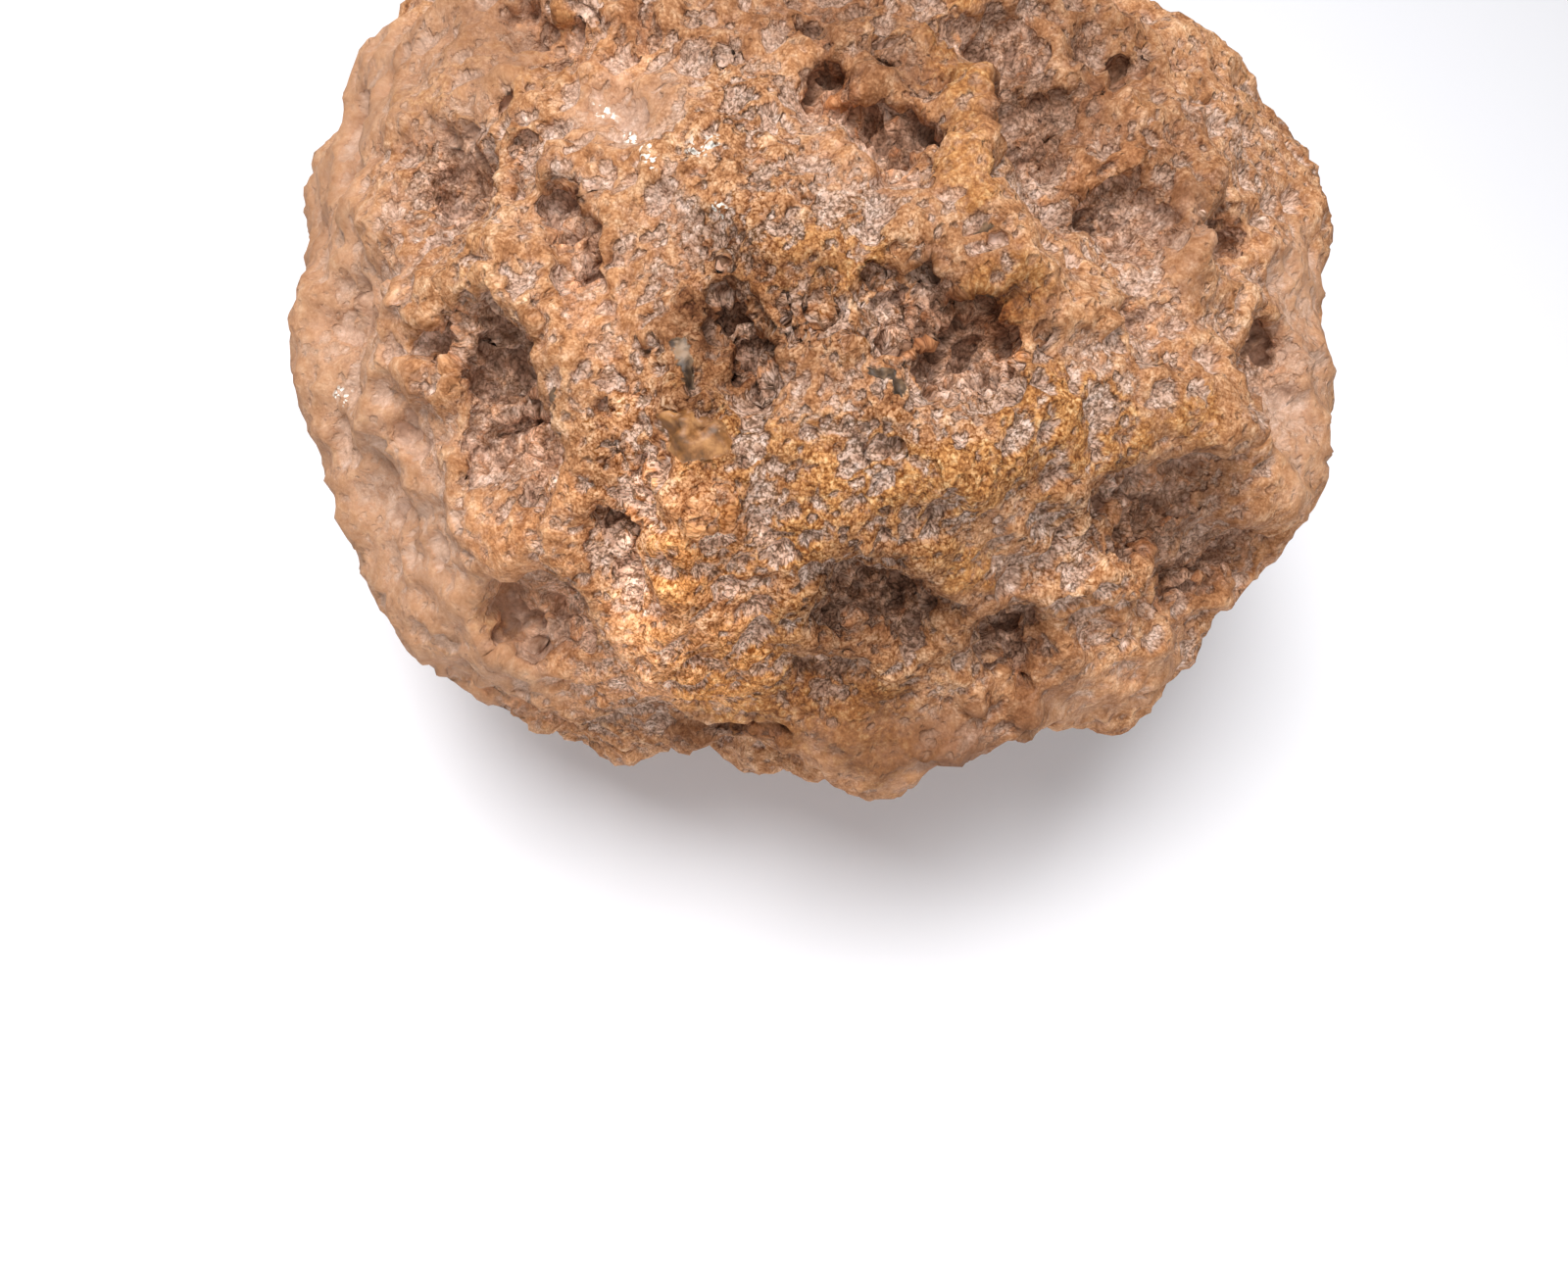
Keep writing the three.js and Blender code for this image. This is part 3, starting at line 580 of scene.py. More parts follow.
        Stain(Tone.DUST, ((1170, 510), (1250, 560)), 8, 0.5),
    ),
    "lower valley": (
        Stain(Tone.DEEP, ((1190, 605), (1230, 600)), 5, 0.3),
        Stain(Tone.DEEP, ((1172, 645),), 4, 0.15),
        Stain(Tone.DEEP, ((1205, 600), (1240, 582)), 5, 0.35),
        Stain(Tone.DUST, ((1090, 590), (1160, 590)), 6, 0.5),
        Stain(Tone.DUST, ((1100, 635),), 5, 0.5),
        Stain(Tone.DUST, ((1172, 645),), 4, -0.6),
        Stain(Tone.PALE, ((1140, 600), (1150, 690)), 7, 0.25),
    ),
    "right slope": (
        Stain(Tone.DEEP, ((1165, 440), (1240, 430)), 8, 0.25),
        Stain(Tone.DUST, ((1180, 330),), 4, 0.5),
        Stain(Tone.OCHRE, ((1220, 415),), 5, 0.6),
        Stain(Tone.SPARKLE, ((1120, 358),), 1.2, 0.9),
    ),
}


# The dense surface


def smoothstep(low: float, high: float, values: np.ndarray) -> np.ndarray:
    """A smooth ramp from 0 at low to 1 at high.

    Args:
        low: Where the ramp starts.
        high: Where it ends.
        values: What is ramped.

    Returns:
        The ramped values.
    """
    share = np.clip((values - low) / (high - low), 0, 1)
    return share * share * (3 - 2 * share)


def lattice_noise(points: np.ndarray, wave: float, seed: int) -> np.ndarray:
    """Smooth repeatable noise from -1 to 1.

    Args:
        points: Places, one row each.
        wave: The lattice's spacing, in the places' unit.
        seed: Which noise it is.

    Returns:
        One value for each place.
    """
    scaled = points / wave
    cell = np.floor(scaled)
    part = scaled - cell
    ease = part * part * (3 - 2 * part)
    cell = cell.astype(np.int64)
    total = np.zeros(len(points))
    for corner in np.ndindex(2, 2, 2):
        at = cell + corner
        mixed = at[:, 0] * 374761393 ^ at[:, 1] * 668265263 ^ at[:, 2] * 2147483647 ^ seed * 40503
        mixed = ((mixed ^ (mixed >> 13)) * 1274126177) & 0xFFFFFFFF
        mixed = ((mixed ^ (mixed >> 16)) * 2246822519) & 0xFFFFFFFF
        chosen = np.where(corner, ease, 1 - ease)
        total += chosen.prod(axis=1) * (mixed / 0xFFFFFFFF)
    return 2 * total - 1


class Surface:
    """A closed mesh held as arrays, in millimetres, while it is carved."""

    def __init__(self, mesh: bpy.types.Mesh) -> None:
        """Reads a mesh whose vertices are in metres.

        Args:
            mesh: The mesh to carve. write() gives it the result.
        """
        self.mesh = mesh
        count = len(mesh.vertices)
        self.points = self._read("position", "vector", count * 3).reshape(-1, 3) / MM
        self.normals = np.empty(count * 3)
        mesh.vertices.foreach_get("normal", self.normals)
        self.normals = self.normals.reshape(-1, 3)
        pairs = np.empty(len(mesh.edges) * 2, np.int64)
        mesh.edges.foreach_get("vertices", pairs)
        self.edges = pairs.reshape(-1, 2)

    def _read(self, name: str, field_name: str, length: int) -> np.ndarray:
        """The values of a point attribute."""
        values = np.empty(length)
        self.mesh.attributes[name].data.foreach_get(field_name, values)
        return values

    def read_vectors(self, name: str) -> np.ndarray:
        """The values of a vector attribute of the points."""
        return self._read(name, "vector", len(self.points) * 3).reshape(-1, 3)

    def scalar(self, name: str) -> np.ndarray:
        """The values of a float attribute of the points."""
        return self._read(name, "value", len(self.points))

    def blurred(self, values: np.ndarray, rounds: int) -> np.ndarray:
        """Values averaged with those of their neighbours.

        Args:
            values: One row for each point.
            rounds: How many times to average.

        Returns:
            The averaged values.
        """
        first, second = self.edges.T
        count = len(self.points)
        degree = np.bincount(first, minlength=count) + np.bincount(second, minlength=count)
        columns = values.reshape(count, -1).copy()
        for _ in range(rounds):
            for k in range(columns.shape[1]):
                column = columns[:, k]
                near = np.bincount(first, column[second], count) + np.bincount(second, column[first], count)
                columns[:, k] = 0.5 * column + 0.5 * near / degree
        return columns.reshape(values.shape)

    def store(self, name: str, values: np.ndarray) -> None:
        """Keeps values as a point attribute.

        Args:
            name: The attribute's name.
            values: One number, or one row of three, for each point.
        """
        kind, field_name = ("FLOAT_VECTOR", "vector") if values.ndim == 2 else ("FLOAT", "value")
        attribute = self.mesh.attributes.get(name) or self.mesh.attributes.new(name, kind, "POINT")
        attribute.data.foreach_set(field_name, values.astype(np.float32).ravel())

    def write(self) -> None:
        """Gives the points back to the mesh, in metres."""
        self.mesh.vertices.foreach_set("co", (self.points * MM).astype(np.float32).ravel())
        self.mesh.update()


@dataclass
class Carver:
    """Carves the landmarks into a surface and marks where the stains lie."""

    surface: Surface
    camera: StoneCamera
    tree: BVHTree
    coarse_wave: float = 5.0
    fine_wave: float = 1.9
    coarse_share: float = 0.46
    fine_share: float = 0.26
    widest_warp: float = 7.0
    lip_share: float = 0.12

    def __post_init__(self) -> None:
        """Works out the noise that makes every outline irregular."""
        points = self.surface.points
        self.coarse = lattice_noise(points, self.coarse_wave, 11)
        self.fine = lattice_noise(points, self.fine_wave, 12)

    def place(self, pixel: Pixel) -> np.ndarray:
        """The place on the stone that the camera sees at a pixel.

        Args:
            pixel: The place in the picture.

        Returns:
            The point, in millimetres.

        Raises:
            ValueError: If the camera sees past the stone there.
        """
        hit = self.tree.ray_cast(self.camera.location(), self.camera.ray(pixel))[0]
        if hit is None:
            raise ValueError(f"no stone is seen at {pixel}")
        return np.array(hit) / MM

    def distance(self, run: tuple[Pixel, ...], reach: float) -> tuple[np.ndarray, np.ndarray]:
        """How far the points near a run lie from it, with an irregular outline.

        Args:
            run: The places that it passes.
            reach: The distance at which its edge lies.

        Returns:
            The indices of the points near it, and their distances as shares of the reach.
        """
        corners = np.array([self.place(pixel) for pixel in run])
        margin = 2.2 * reach
        points = self.surface.points
        inside = ((points > corners.min(0) - margin) & (points < corners.max(0) + margin)).all(axis=1)
        near = np.flatnonzero(inside)
        chosen = points[near]
        least = np.linalg.norm(chosen - corners[0], axis=1)
        for start, end in zip(corners, corners[1:]):
            along = end - start
            share = np.clip((chosen - start) @ along / (along @ along), 0, 1)
            least = np.minimum(least, np.linalg.norm(chosen - start - share[:, None] * along, axis=1))
        warp = self.coarse_share * self.coarse[near] + self.fine_share * self.fine[near]
        return near, least / reach + warp * min(1, self.widest_warp / reach)

    def carve(self, hollows: tuple[Hollow, ...], ridges: tuple[Ridge, ...]) -> None:
        """Carves hollows and raises ridges, and stores how deep the hollows are.

        Args:
            hollows: What to carve.
            ridges: What to raise.
        """
        count = len(self.surface.points)
        sunk, raised = np.zeros(count), np.zeros(count)
        for hollow in hollows:
            near, share = self.distance(hollow.run, hollow.reach)
            sunk[near] += hollow.deep * (1 - smoothstep(0.2, 1.05, share))
            raised[near] += self.lip_share * hollow.deep * np.exp(-(((share - 1.2) / 0.2) ** 2))
        for ridge in ridges:
            near, share = self.distance(ridge.run, ridge.reach)
            raised[near] += ridge.rise * np.exp(-(share**2))
        self.surface.store("sunk", sunk)
        self.surface.store("raised", raised)
        self.surface.points += self.surface.normals * (raised - sunk)[:, None]

    def stain(self, stains: dict[str, tuple[Stain, ...]]) -> None:
        """Stores how strong each tone is at each point.

        Args:
            stains: What to mark, by the part of the stone that it is on.
        """
        every = [stain for group in stains.values() for stain in group]
        for tone in Tone:
            strength = np.zeros(len(self.surface.points))
            for stain in every:
                if stain.tone is tone:
                    near, share = self.distance(stain.run, stain.reach)
                    strength[near] += stain.strength * (1 - smoothstep(0.5, 1.2, share))
            self.surface.store(tone.value, np.clip(strength, -1, 1))


# Nodes


class Nodes:
    """Adds and links nodes in one tree. What it makes works in shader and geometry trees alike."""

    def __init__(self, tree: bpy.types.NodeTree) -> None:
        """Starts on a tree.

        Args:
            tree: The tree that gets the nodes.
        """
        self.tree = tree

    def feed(self, socket: Socket, value: Feed) -> None:
        """Links an output to an input, or sets the input's own value."""
        if isinstance(value, Socket):
            self.tree.links.new(value, socket)
        else:
            socket.default_value = value

    def add(
        self, kind: str, feeds: dict[str | int, Feed] | None = None, **settings: object
    ) -> bpy.types.Node:
        """Adds a node.

        Args:
            kind: The node's type name.
            feeds: What goes into its inputs, by their name or place.
            **settings: Its other properties.

        Returns:
            The node.
        """
        node = self.tree.nodes.new(kind)
        for name, value in settings.items():
            setattr(node, name, value)
        for key, value in (feeds or {}).items():
            self.feed(node.inputs[key], value)
        return node

    def math(self, operation: str, *values: Feed) -> Socket:
        """The result of a Math node."""
        return self.add("ShaderNodeMath", dict(enumerate(values)), operation=operation).outputs[0]

    def vector(self, operation: str, *values: Feed) -> Socket:
        """The result of a Vector Math node."""
        return self.add("ShaderNodeVectorMath", dict(enumerate(values)), operation=operation).outputs[0]

    def part(self, value: Feed, axis: int = 0) -> Socket:
        """One part of a vector or colour."""
        return self.add("ShaderNodeSeparateXYZ", {0: value}).outputs[axis]

    def total(self, *terms: tuple[Feed, float]) -> Socket:
        """A weighted sum.

        Args:
            *terms: Pairs of a value and its weight.

        Returns:
            The sum's socket.
        """
        result: Feed = 0.0
        for value, weight in terms:
            result = self.math("MULTIPLY_ADD", value, weight, result)
        return result

    def ramp(
        self, value: Feed, low: Feed, high: Feed, start: float = 0.0, end: float = 1.0
    ) -> Socket:
        """A smooth ramp between two values.

        Args:
            value: What is ramped.
            low: Where the ramp starts.
            high: Where it ends.
            start: The result at and before low.
            end: The result at and past high.

        Returns:
            The result's socket.
        """
        feeds = {0: value, 1: low, 2: high, 3: start, 4: end}
        return self.add("ShaderNodeMapRange", feeds, interpolation_type="SMOOTHSTEP").outputs[0]

    def noise(self, place: Feed, wave: float, detail: float = 2.0, roughness: float = 0.5) -> bpy.types.Node:
        """A noise texture of a given wavelength in millimetres."""
        feeds = {"Vector": place, "Scale": 1 / (wave * MM), "Detail": detail, "Roughness": roughness}
        return self.add("ShaderNodeTexNoise", feeds, noise_dimensions="3D")

    def cells(self, place: Feed, wave: float, feature: str = "F1") -> bpy.types.Node:
        """A cell texture of a given spacing in millimetres."""
        feeds = {"Vector": place, "Scale": 1 / (wave * MM)}
        return self.add("ShaderNodeTexVoronoi", feeds, voronoi_dimensions="3D", feature=feature)

    def shifted(self, place: Feed, wave: float, amount: float) -> Socket:
        """A place bent by noise.

        Args:
            place: The place to bend.
            wave: The noise's wavelength in millimetres.
            amount: How far it may bend, in millimetres.

        Returns:
            The bent place's socket.
        """
        centred = self.vector("SUBTRACT", self.noise(place, wave).outputs[1], (0.5, 0.5, 0.5))
        return self.vector("MULTIPLY_ADD", centred, (2 * amount * MM,) * 3, place)

    def streaked(
        self, place: Socket, streak: tuple[float, float, float], stretch: float
    ) -> Socket:
        """A place with one direction drawn together, so that what follows it is drawn out that way.

        Args:
            place: The place.
            streak: The direction, of length 1.
            stretch: How much of it is taken away.

        Returns:
            The new place's socket.
        """
        feeds = {0: place, 1: streak}
        along = self.add("ShaderNodeVectorMath", feeds, operation="DOT_PRODUCT").outputs["Value"]
        return self.vector("MULTIPLY_ADD", along, tuple(-stretch * part for part in streak), place)

    def mix(self, share: Feed, first: Feed, second: Feed, blend: str = "MIX") -> Socket:
        """Two colours mixed by a share."""
        paints = [v if isinstance(v, Socket) else (*v, 1.0) for v in (first, second)]
        feeds = {0: share, 6: paints[0], 7: paints[1]}
        return self.add("ShaderNodeMix", feeds, data_type="RGBA", blend_type=blend).outputs[2]


class GroupKind(Enum):
    """The tree types that a pattern can be built in."""

    SHADER = ("ShaderNodeTree", "ShaderNodeGroup")
    GEOMETRY = ("GeometryNodeTree", "GeometryNodeGroup")


@dataclass(frozen=True)
class RindPattern:
    """The rind's pattern: a net of crust, the dusty patches in its gaps, and pockmarks.

    The same pattern moves the surface and paints it, so one method builds it in either kind of tree.
    """

    net_wave: float = 4.4
    net_bend_wave: float = 2.6
    net_bend: float = 1.5
    ragged_wave: float = 1.1
    ragged: float = 0.85
    width_crusted: float = 0.42
    width_dusty: float = -0.1
    edge: float = 0.12
    dent_wave: float = 4.4
    dent_size: float = 0.66
    prick_wave: float = 1.5
    prick_size: float = 0.6
    dent_dust: float = 0.42
    prick_dust: float = 0.22
    dust_offset: float = -0.1
    streak: tuple[float, float, float] = (0.51, 0.79, 0.33)
    streak_stretch: float = 0.28
    jitter_wave: float = 0.9
    jitter: float = 0.45
    dent_soft: tuple[float, float] = (-0.06, 0.26)
    dents_missing: float = 0.1
    least_dent: float = 0.1
    comb_wave: float = 3.0
    comb_width: float = 0.3
    comb_left: tuple[float, float, float] = (0.0, 0.69, 0.724)
    comb_stretch: float = 0.42
    comb_turn: tuple[float, float] = (-10.0, 30.0)
    comb_bend_wave: float = 2.6
    comb_bend: float = 1.3
    comb_ragged_wave: float = 0.9
    comb_ragged: float = 0.24
    inputs: tuple[tuple[str, str], ...] = (("Place", "NodeSocketVector"), ("Dust", "NodeSocketFloat"))
    outputs: tuple[str, ...] = ("Over", "Patch", "Dent", "Prick", "Crest")

    def build(self, kind: GroupKind) -> bpy.types.NodeTree:
        """Builds the pattern as a node group.

        Args:
            kind: Whether shaders or geometry will use it.

        Returns:
            The group's tree.
        """
        tree = bpy.data.node_groups.new(f"rind pattern {kind.name.lower()}", kind.value[0])
        for name, socket_type in self.inputs:
            tree.interface.new_socket(name, in_out="INPUT", socket_type=socket_type)
        for name in self.outputs:
            tree.interface.new_socket(name, in_out="OUTPUT", socket_type="NodeSocketFloat")
        nodes = Nodes(tree)
        given = nodes.add("NodeGroupInput")
        place, dust = given.outputs["Place"], given.outputs["Dust"]
        long = nodes.streaked(place, self.streak, self.streak_stretch)
        bent = nodes.shifted(long, self.net_bend_wave, self.net_bend)
        swell = nodes.noise(bent, self.net_wave, 2.0, 0.5).outputs[0]
        gap = nodes.math("ABSOLUTE", nodes.math("MULTIPLY_ADD", swell, 2.0, -1.0))
        ragged = nodes.noise(place, self.ragged_wave, 4.0, 0.7).outputs[0]
        gap = nodes.math("MULTIPLY_ADD", nodes.math("SUBTRACT", ragged, 0.5), self.ragged, gap)
        feeds = {0: dust, 1: -1.0, 2: 1.0, 3: self.width_crusted, 4: self.width_dusty}
        width = nodes.add("ShaderNodeMapRange", feeds).outputs[0]
        dent = self._dents(nodes, bent, self.dent_wave, self.dent_size)
        jittered = nodes.shifted(long, self.jitter_wave, self.jitter)
        prick = self._dents(nodes, jittered, self.prick_wave, self.prick_size)
        over = nodes.total(
            (gap, 1.0),
            (width, -1.0),
            (dent, self.dent_dust),
            (prick, self.prick_dust),
            (1.0, self.dust_offset),
        )
        patch = nodes.ramp(over, -self.edge, self.edge)
        crest = self._crests(nodes, place)
        results = (over, patch, dent, prick, crest)
        nodes.add("NodeGroupOutput", dict(zip(self.outputs, results)))
        return tree

    def _crests(self, nodes: Nodes, place: Socket) -> Socket:
        """Thin crests between close dents that are drawn out upwards, as the hollows' floors have.

        Args:
            nodes: The group's nodes.
            place: Where the point lies.

        Returns:
            1 on a crest and 0 in a dent.
        """
        bent = nodes.shifted(place, self.comb_bend_wave, self.comb_bend)
        left, right = (
            nodes.streaked(bent, streak, self.comb_stretch) for streak in (self.comb_left, self.streak)
        )
        share = nodes.ramp(nodes.part(place), *(edge * MM for edge in self.comb_turn))
        turned = nodes.add("ShaderNodeMix", {0: share, 4: left, 5: right}, data_type="VECTOR").outputs[1]
        edge = nodes.cells(turned, self.comb_wave, "DISTANCE_TO_EDGE").outputs["Distance"]
        ragged = nodes.noise(place, self.comb_ragged_wave, 2.0, 0.6).outputs[0]
        ragged = nodes.math("MULTIPLY_ADD", ragged, self.comb_ragged, -self.comb_ragged / 2)
        edge = nodes.math("ADD", edge, ragged)
        return nodes.ramp(edge, 0.0, self.comb_width, 1.0, 0.0)

    def _dents(self, nodes: Nodes, place: Socket, wave: float, size: float) -> Socket:
        """Small dents of mixed sizes, of which some are left out.

        Args:
            nodes: The group's nodes.
            place: Where the point lies, bent so that the dents aren't round.
            wave: The dents' spacing in millimetres.
            size: The largest one's radius, as a share of the spacing.

        Returns:
            1 in a dent's middle and 0 outside them.
        """
        dots = nodes.cells(place, wave)
        chosen = nodes.part(dots.outputs["Color"])
        feeds = {0: chosen, 1: self.dents_missing, 2: 1.0, 3: self.least_dent, 4: size}
        radius = nodes.add("ShaderNodeMapRange", feeds).outputs[0]
        return nodes.ramp(nodes.math("SUBTRACT", radius, dots.outputs["Distance"]), *self.dent_soft)


@dataclass(frozen=True)
class Weathering:
    """The relief that follows a rule all over the stone, made by Geometry Nodes."""

    patch_depth: float = 0.3
    dent_depth: float = 1.1
    prick_depth: float = 0.18
    lump_wave: float = 12.0
    lump_height: float = 1.3
    scoop_wave: float = 7.0
    scoop_height: float = 2.6
    scoop_bend_wave: float = 4.0
    scoop_bend: float = 1.6
    worn_scoop: float = 0.3
    knob_wave: float = 4.4
    knob_height: float = 1.5
    knob_bend_wave: float = 6.0
    knob_bend: float = 1.5
    grain_wave: float = 1.9
    grain_height: float = 0.55
    comb_height: float = 1.5
    comb_level: float = 0.35
    pit_wave: float = 15.0
    pit_size: float = 0.34
    pit_depth: float = 3.2
    pit_bend_wave: float = 7.0
    pit_bend: float = 3.0
    pits_missing: float = 0.25
    pit_soft: tuple[float, float] = (-0.08, 0.16)

    def tree(self, pattern: bpy.types.NodeTree) -> bpy.types.NodeTree:
        """Builds the relief's tree.

        Args:
            pattern: The rind pattern, built for geometry.

        Returns:
            The tree.
        """
        tree = bpy.data.node_groups.new("weathered relief", "GeometryNodeTree")
        tree.interface.new_socket("Geometry", in_out="INPUT", socket_type="NodeSocketGeometry")
        for name, value in self.sizes().items():
            socket = tree.interface.new_socket(name, in_out="INPUT", socket_type="NodeSocketFloat")
            socket.default_value = value
        tree.interface.new_socket("Rind", in_out="INPUT", socket_type="NodeSocketMaterial")
        tree.interface.new_socket("Geometry", in_out="OUTPUT", socket_type="NodeSocketGeometry")
        nodes = Nodes(tree)
        given = nodes.add("NodeGroupInput")
        place = self._attribute(nodes, "rest", "FLOAT_VECTOR")
        rind = nodes.add("GeometryNodeGroup", node_tree=pattern)
        nodes.feed(rind.inputs["Place"], place)
        nodes.feed(rind.inputs["Dust"], self._attribute(nodes, "dusty"))
        height = self._height(nodes, given, place, rind)
        free = nodes.math("MULTIPLY", self._attribute(nodes, "free"), MM)
        normal = nodes.add("GeometryNodeInputNormal").outputs[0]
        feeds = {0: normal, "Scale": nodes.math("MULTIPLY", height, free)}
        offset = nodes.add("ShaderNodeVectorMath", feeds, operation="SCALE").outputs[0]
        feeds = {"Geometry": given.outputs["Geometry"], "Offset": offset}
        moved = nodes.add("GeometryNodeSetPosition", feeds)
        real = nodes.add("GeometryNodeRealizeInstances", {0: moved.outputs[0]})
        feeds = {"Geometry": real.outputs[0], "Material": given.outputs["Rind"]}
        dressed = nodes.add("GeometryNodeSetMaterial", feeds)
        nodes.add("NodeGroupOutput", {0: dressed.outputs[0]})
        return tree

    def sizes(self) -> dict[str, float]:
        """The named inputs and their values, in millimetres."""
        return {
            "Patch depth": self.patch_depth,
            "Dent depth": self.dent_depth,
            "Prick depth": self.prick_depth,
            "Lump height": self.lump_height,
            "Scoop height": self.scoop_height,
            "Knob height": self.knob_height,
            "Grain height": self.grain_height,
            "Comb height": self.comb_height,
            "Pit depth": self.pit_depth,
        }

    def _attribute(self, nodes: Nodes, name: str, kind: str = "FLOAT") -> Socket:
        """The values of a named attribute."""
        return nodes.add("GeometryNodeInputNamedAttribute", {"Name": name}, data_type=kind).outputs[0]

    def _height(
        self, nodes: Nodes, given: bpy.types.Node, place: Socket, rind: bpy.types.Node
    ) -> Socket:
        """How far each point moves outwards, in millimetres.

        Args:
            nodes: The tree's nodes.
            given: The group's inputs.
            place: Where the point lies on the undressed stone.
            rind: The rind pattern's node.

        Returns:
            The height's socket.
        """
        sizes = given.outputs
        coarse = self._attribute(nodes, "coarse")
        bent = nodes.shifted(place, self.knob_bend_wave, self.knob_bend)
        knobs = nodes.noise(bent, self.knob_wave, 4.0, 0.62).outputs[0]
        grain = nodes.noise(place, self.grain_wave, 3.0, 0.65).outputs[0]
        comb = nodes.math("SUBTRACT", rind.outputs["Crest"], self.comb_level)
        comb = nodes.math("MULTIPLY", comb, self._attribute(nodes, "hollow"))
        rough: Feed = nodes.math("MULTIPLY", comb, sizes["Comb height"])
        for value, size in ((knobs, sizes["Knob height"]), (grain, sizes["Grain height"])):
            rough = nodes.math("MULTIPLY_ADD", nodes.math("MULTIPLY_ADD", value, 2.0, -1.0), size, rough)
        for name in ("Patch", "Prick"):
            depth = nodes.math("MULTIPLY", rind.outputs[name], sizes[f"{name} depth"])
            rough = nodes.math("SUBTRACT", rough, depth)
        lumps = nodes.noise(place, self.lump_wave, 2.0, 0.55).outputs[0]
        total = nodes.math("MULTIPLY", nodes.math("MULTIPLY_ADD", lumps, 2.0, -1.0), sizes["Lump height"])
        bent = nodes.shifted(place, self.scoop_bend_wave, self.scoop_bend)
        scoops = nodes.cells(bent, self.scoop_wave).outputs["Distance"]
        scoops = nodes.math("MULTIPLY", nodes.math("SUBTRACT", scoops, 0.5), sizes["Scoop height"])
        deeper = nodes.math("MULTIPLY_ADD", self._attribute(nodes, "worn"), self.worn_scoop, 1.0)
        total = nodes.math("MULTIPLY_ADD", scoops, deeper, total)
        dents = nodes.math("MULTIPLY", rind.outputs["Dent"], sizes["Dent depth"])
        total = nodes.math("SUBTRACT", total, dents)
        total = nodes.math("MULTIPLY_ADD", rough, coarse, total)
        pits = nodes.cells(nodes.shifted(place, self.pit_bend_wave, self.pit_bend), self.pit_wave)
        chosen = nodes.part(pits.outputs["Color"], 1)
        size = nodes.ramp(chosen, self.pits_missing, 1.0, 0.0, self.pit_size)
        bowl = nodes.ramp(nodes.math("SUBTRACT", size, pits.outputs["Distance"]), *self.pit_soft)
        hidden = nodes.math("SUBTRACT", 1.0, self._attribute(nodes, "shown"))
        hollow = nodes.math("MULTIPLY", nodes.math("MULTIPLY", bowl, hidden), sizes["Pit depth"])
        return nodes.math("SUBTRACT", total, hollow)


# The rind's finish


Stops = tuple[tuple[float, Colour], ...]


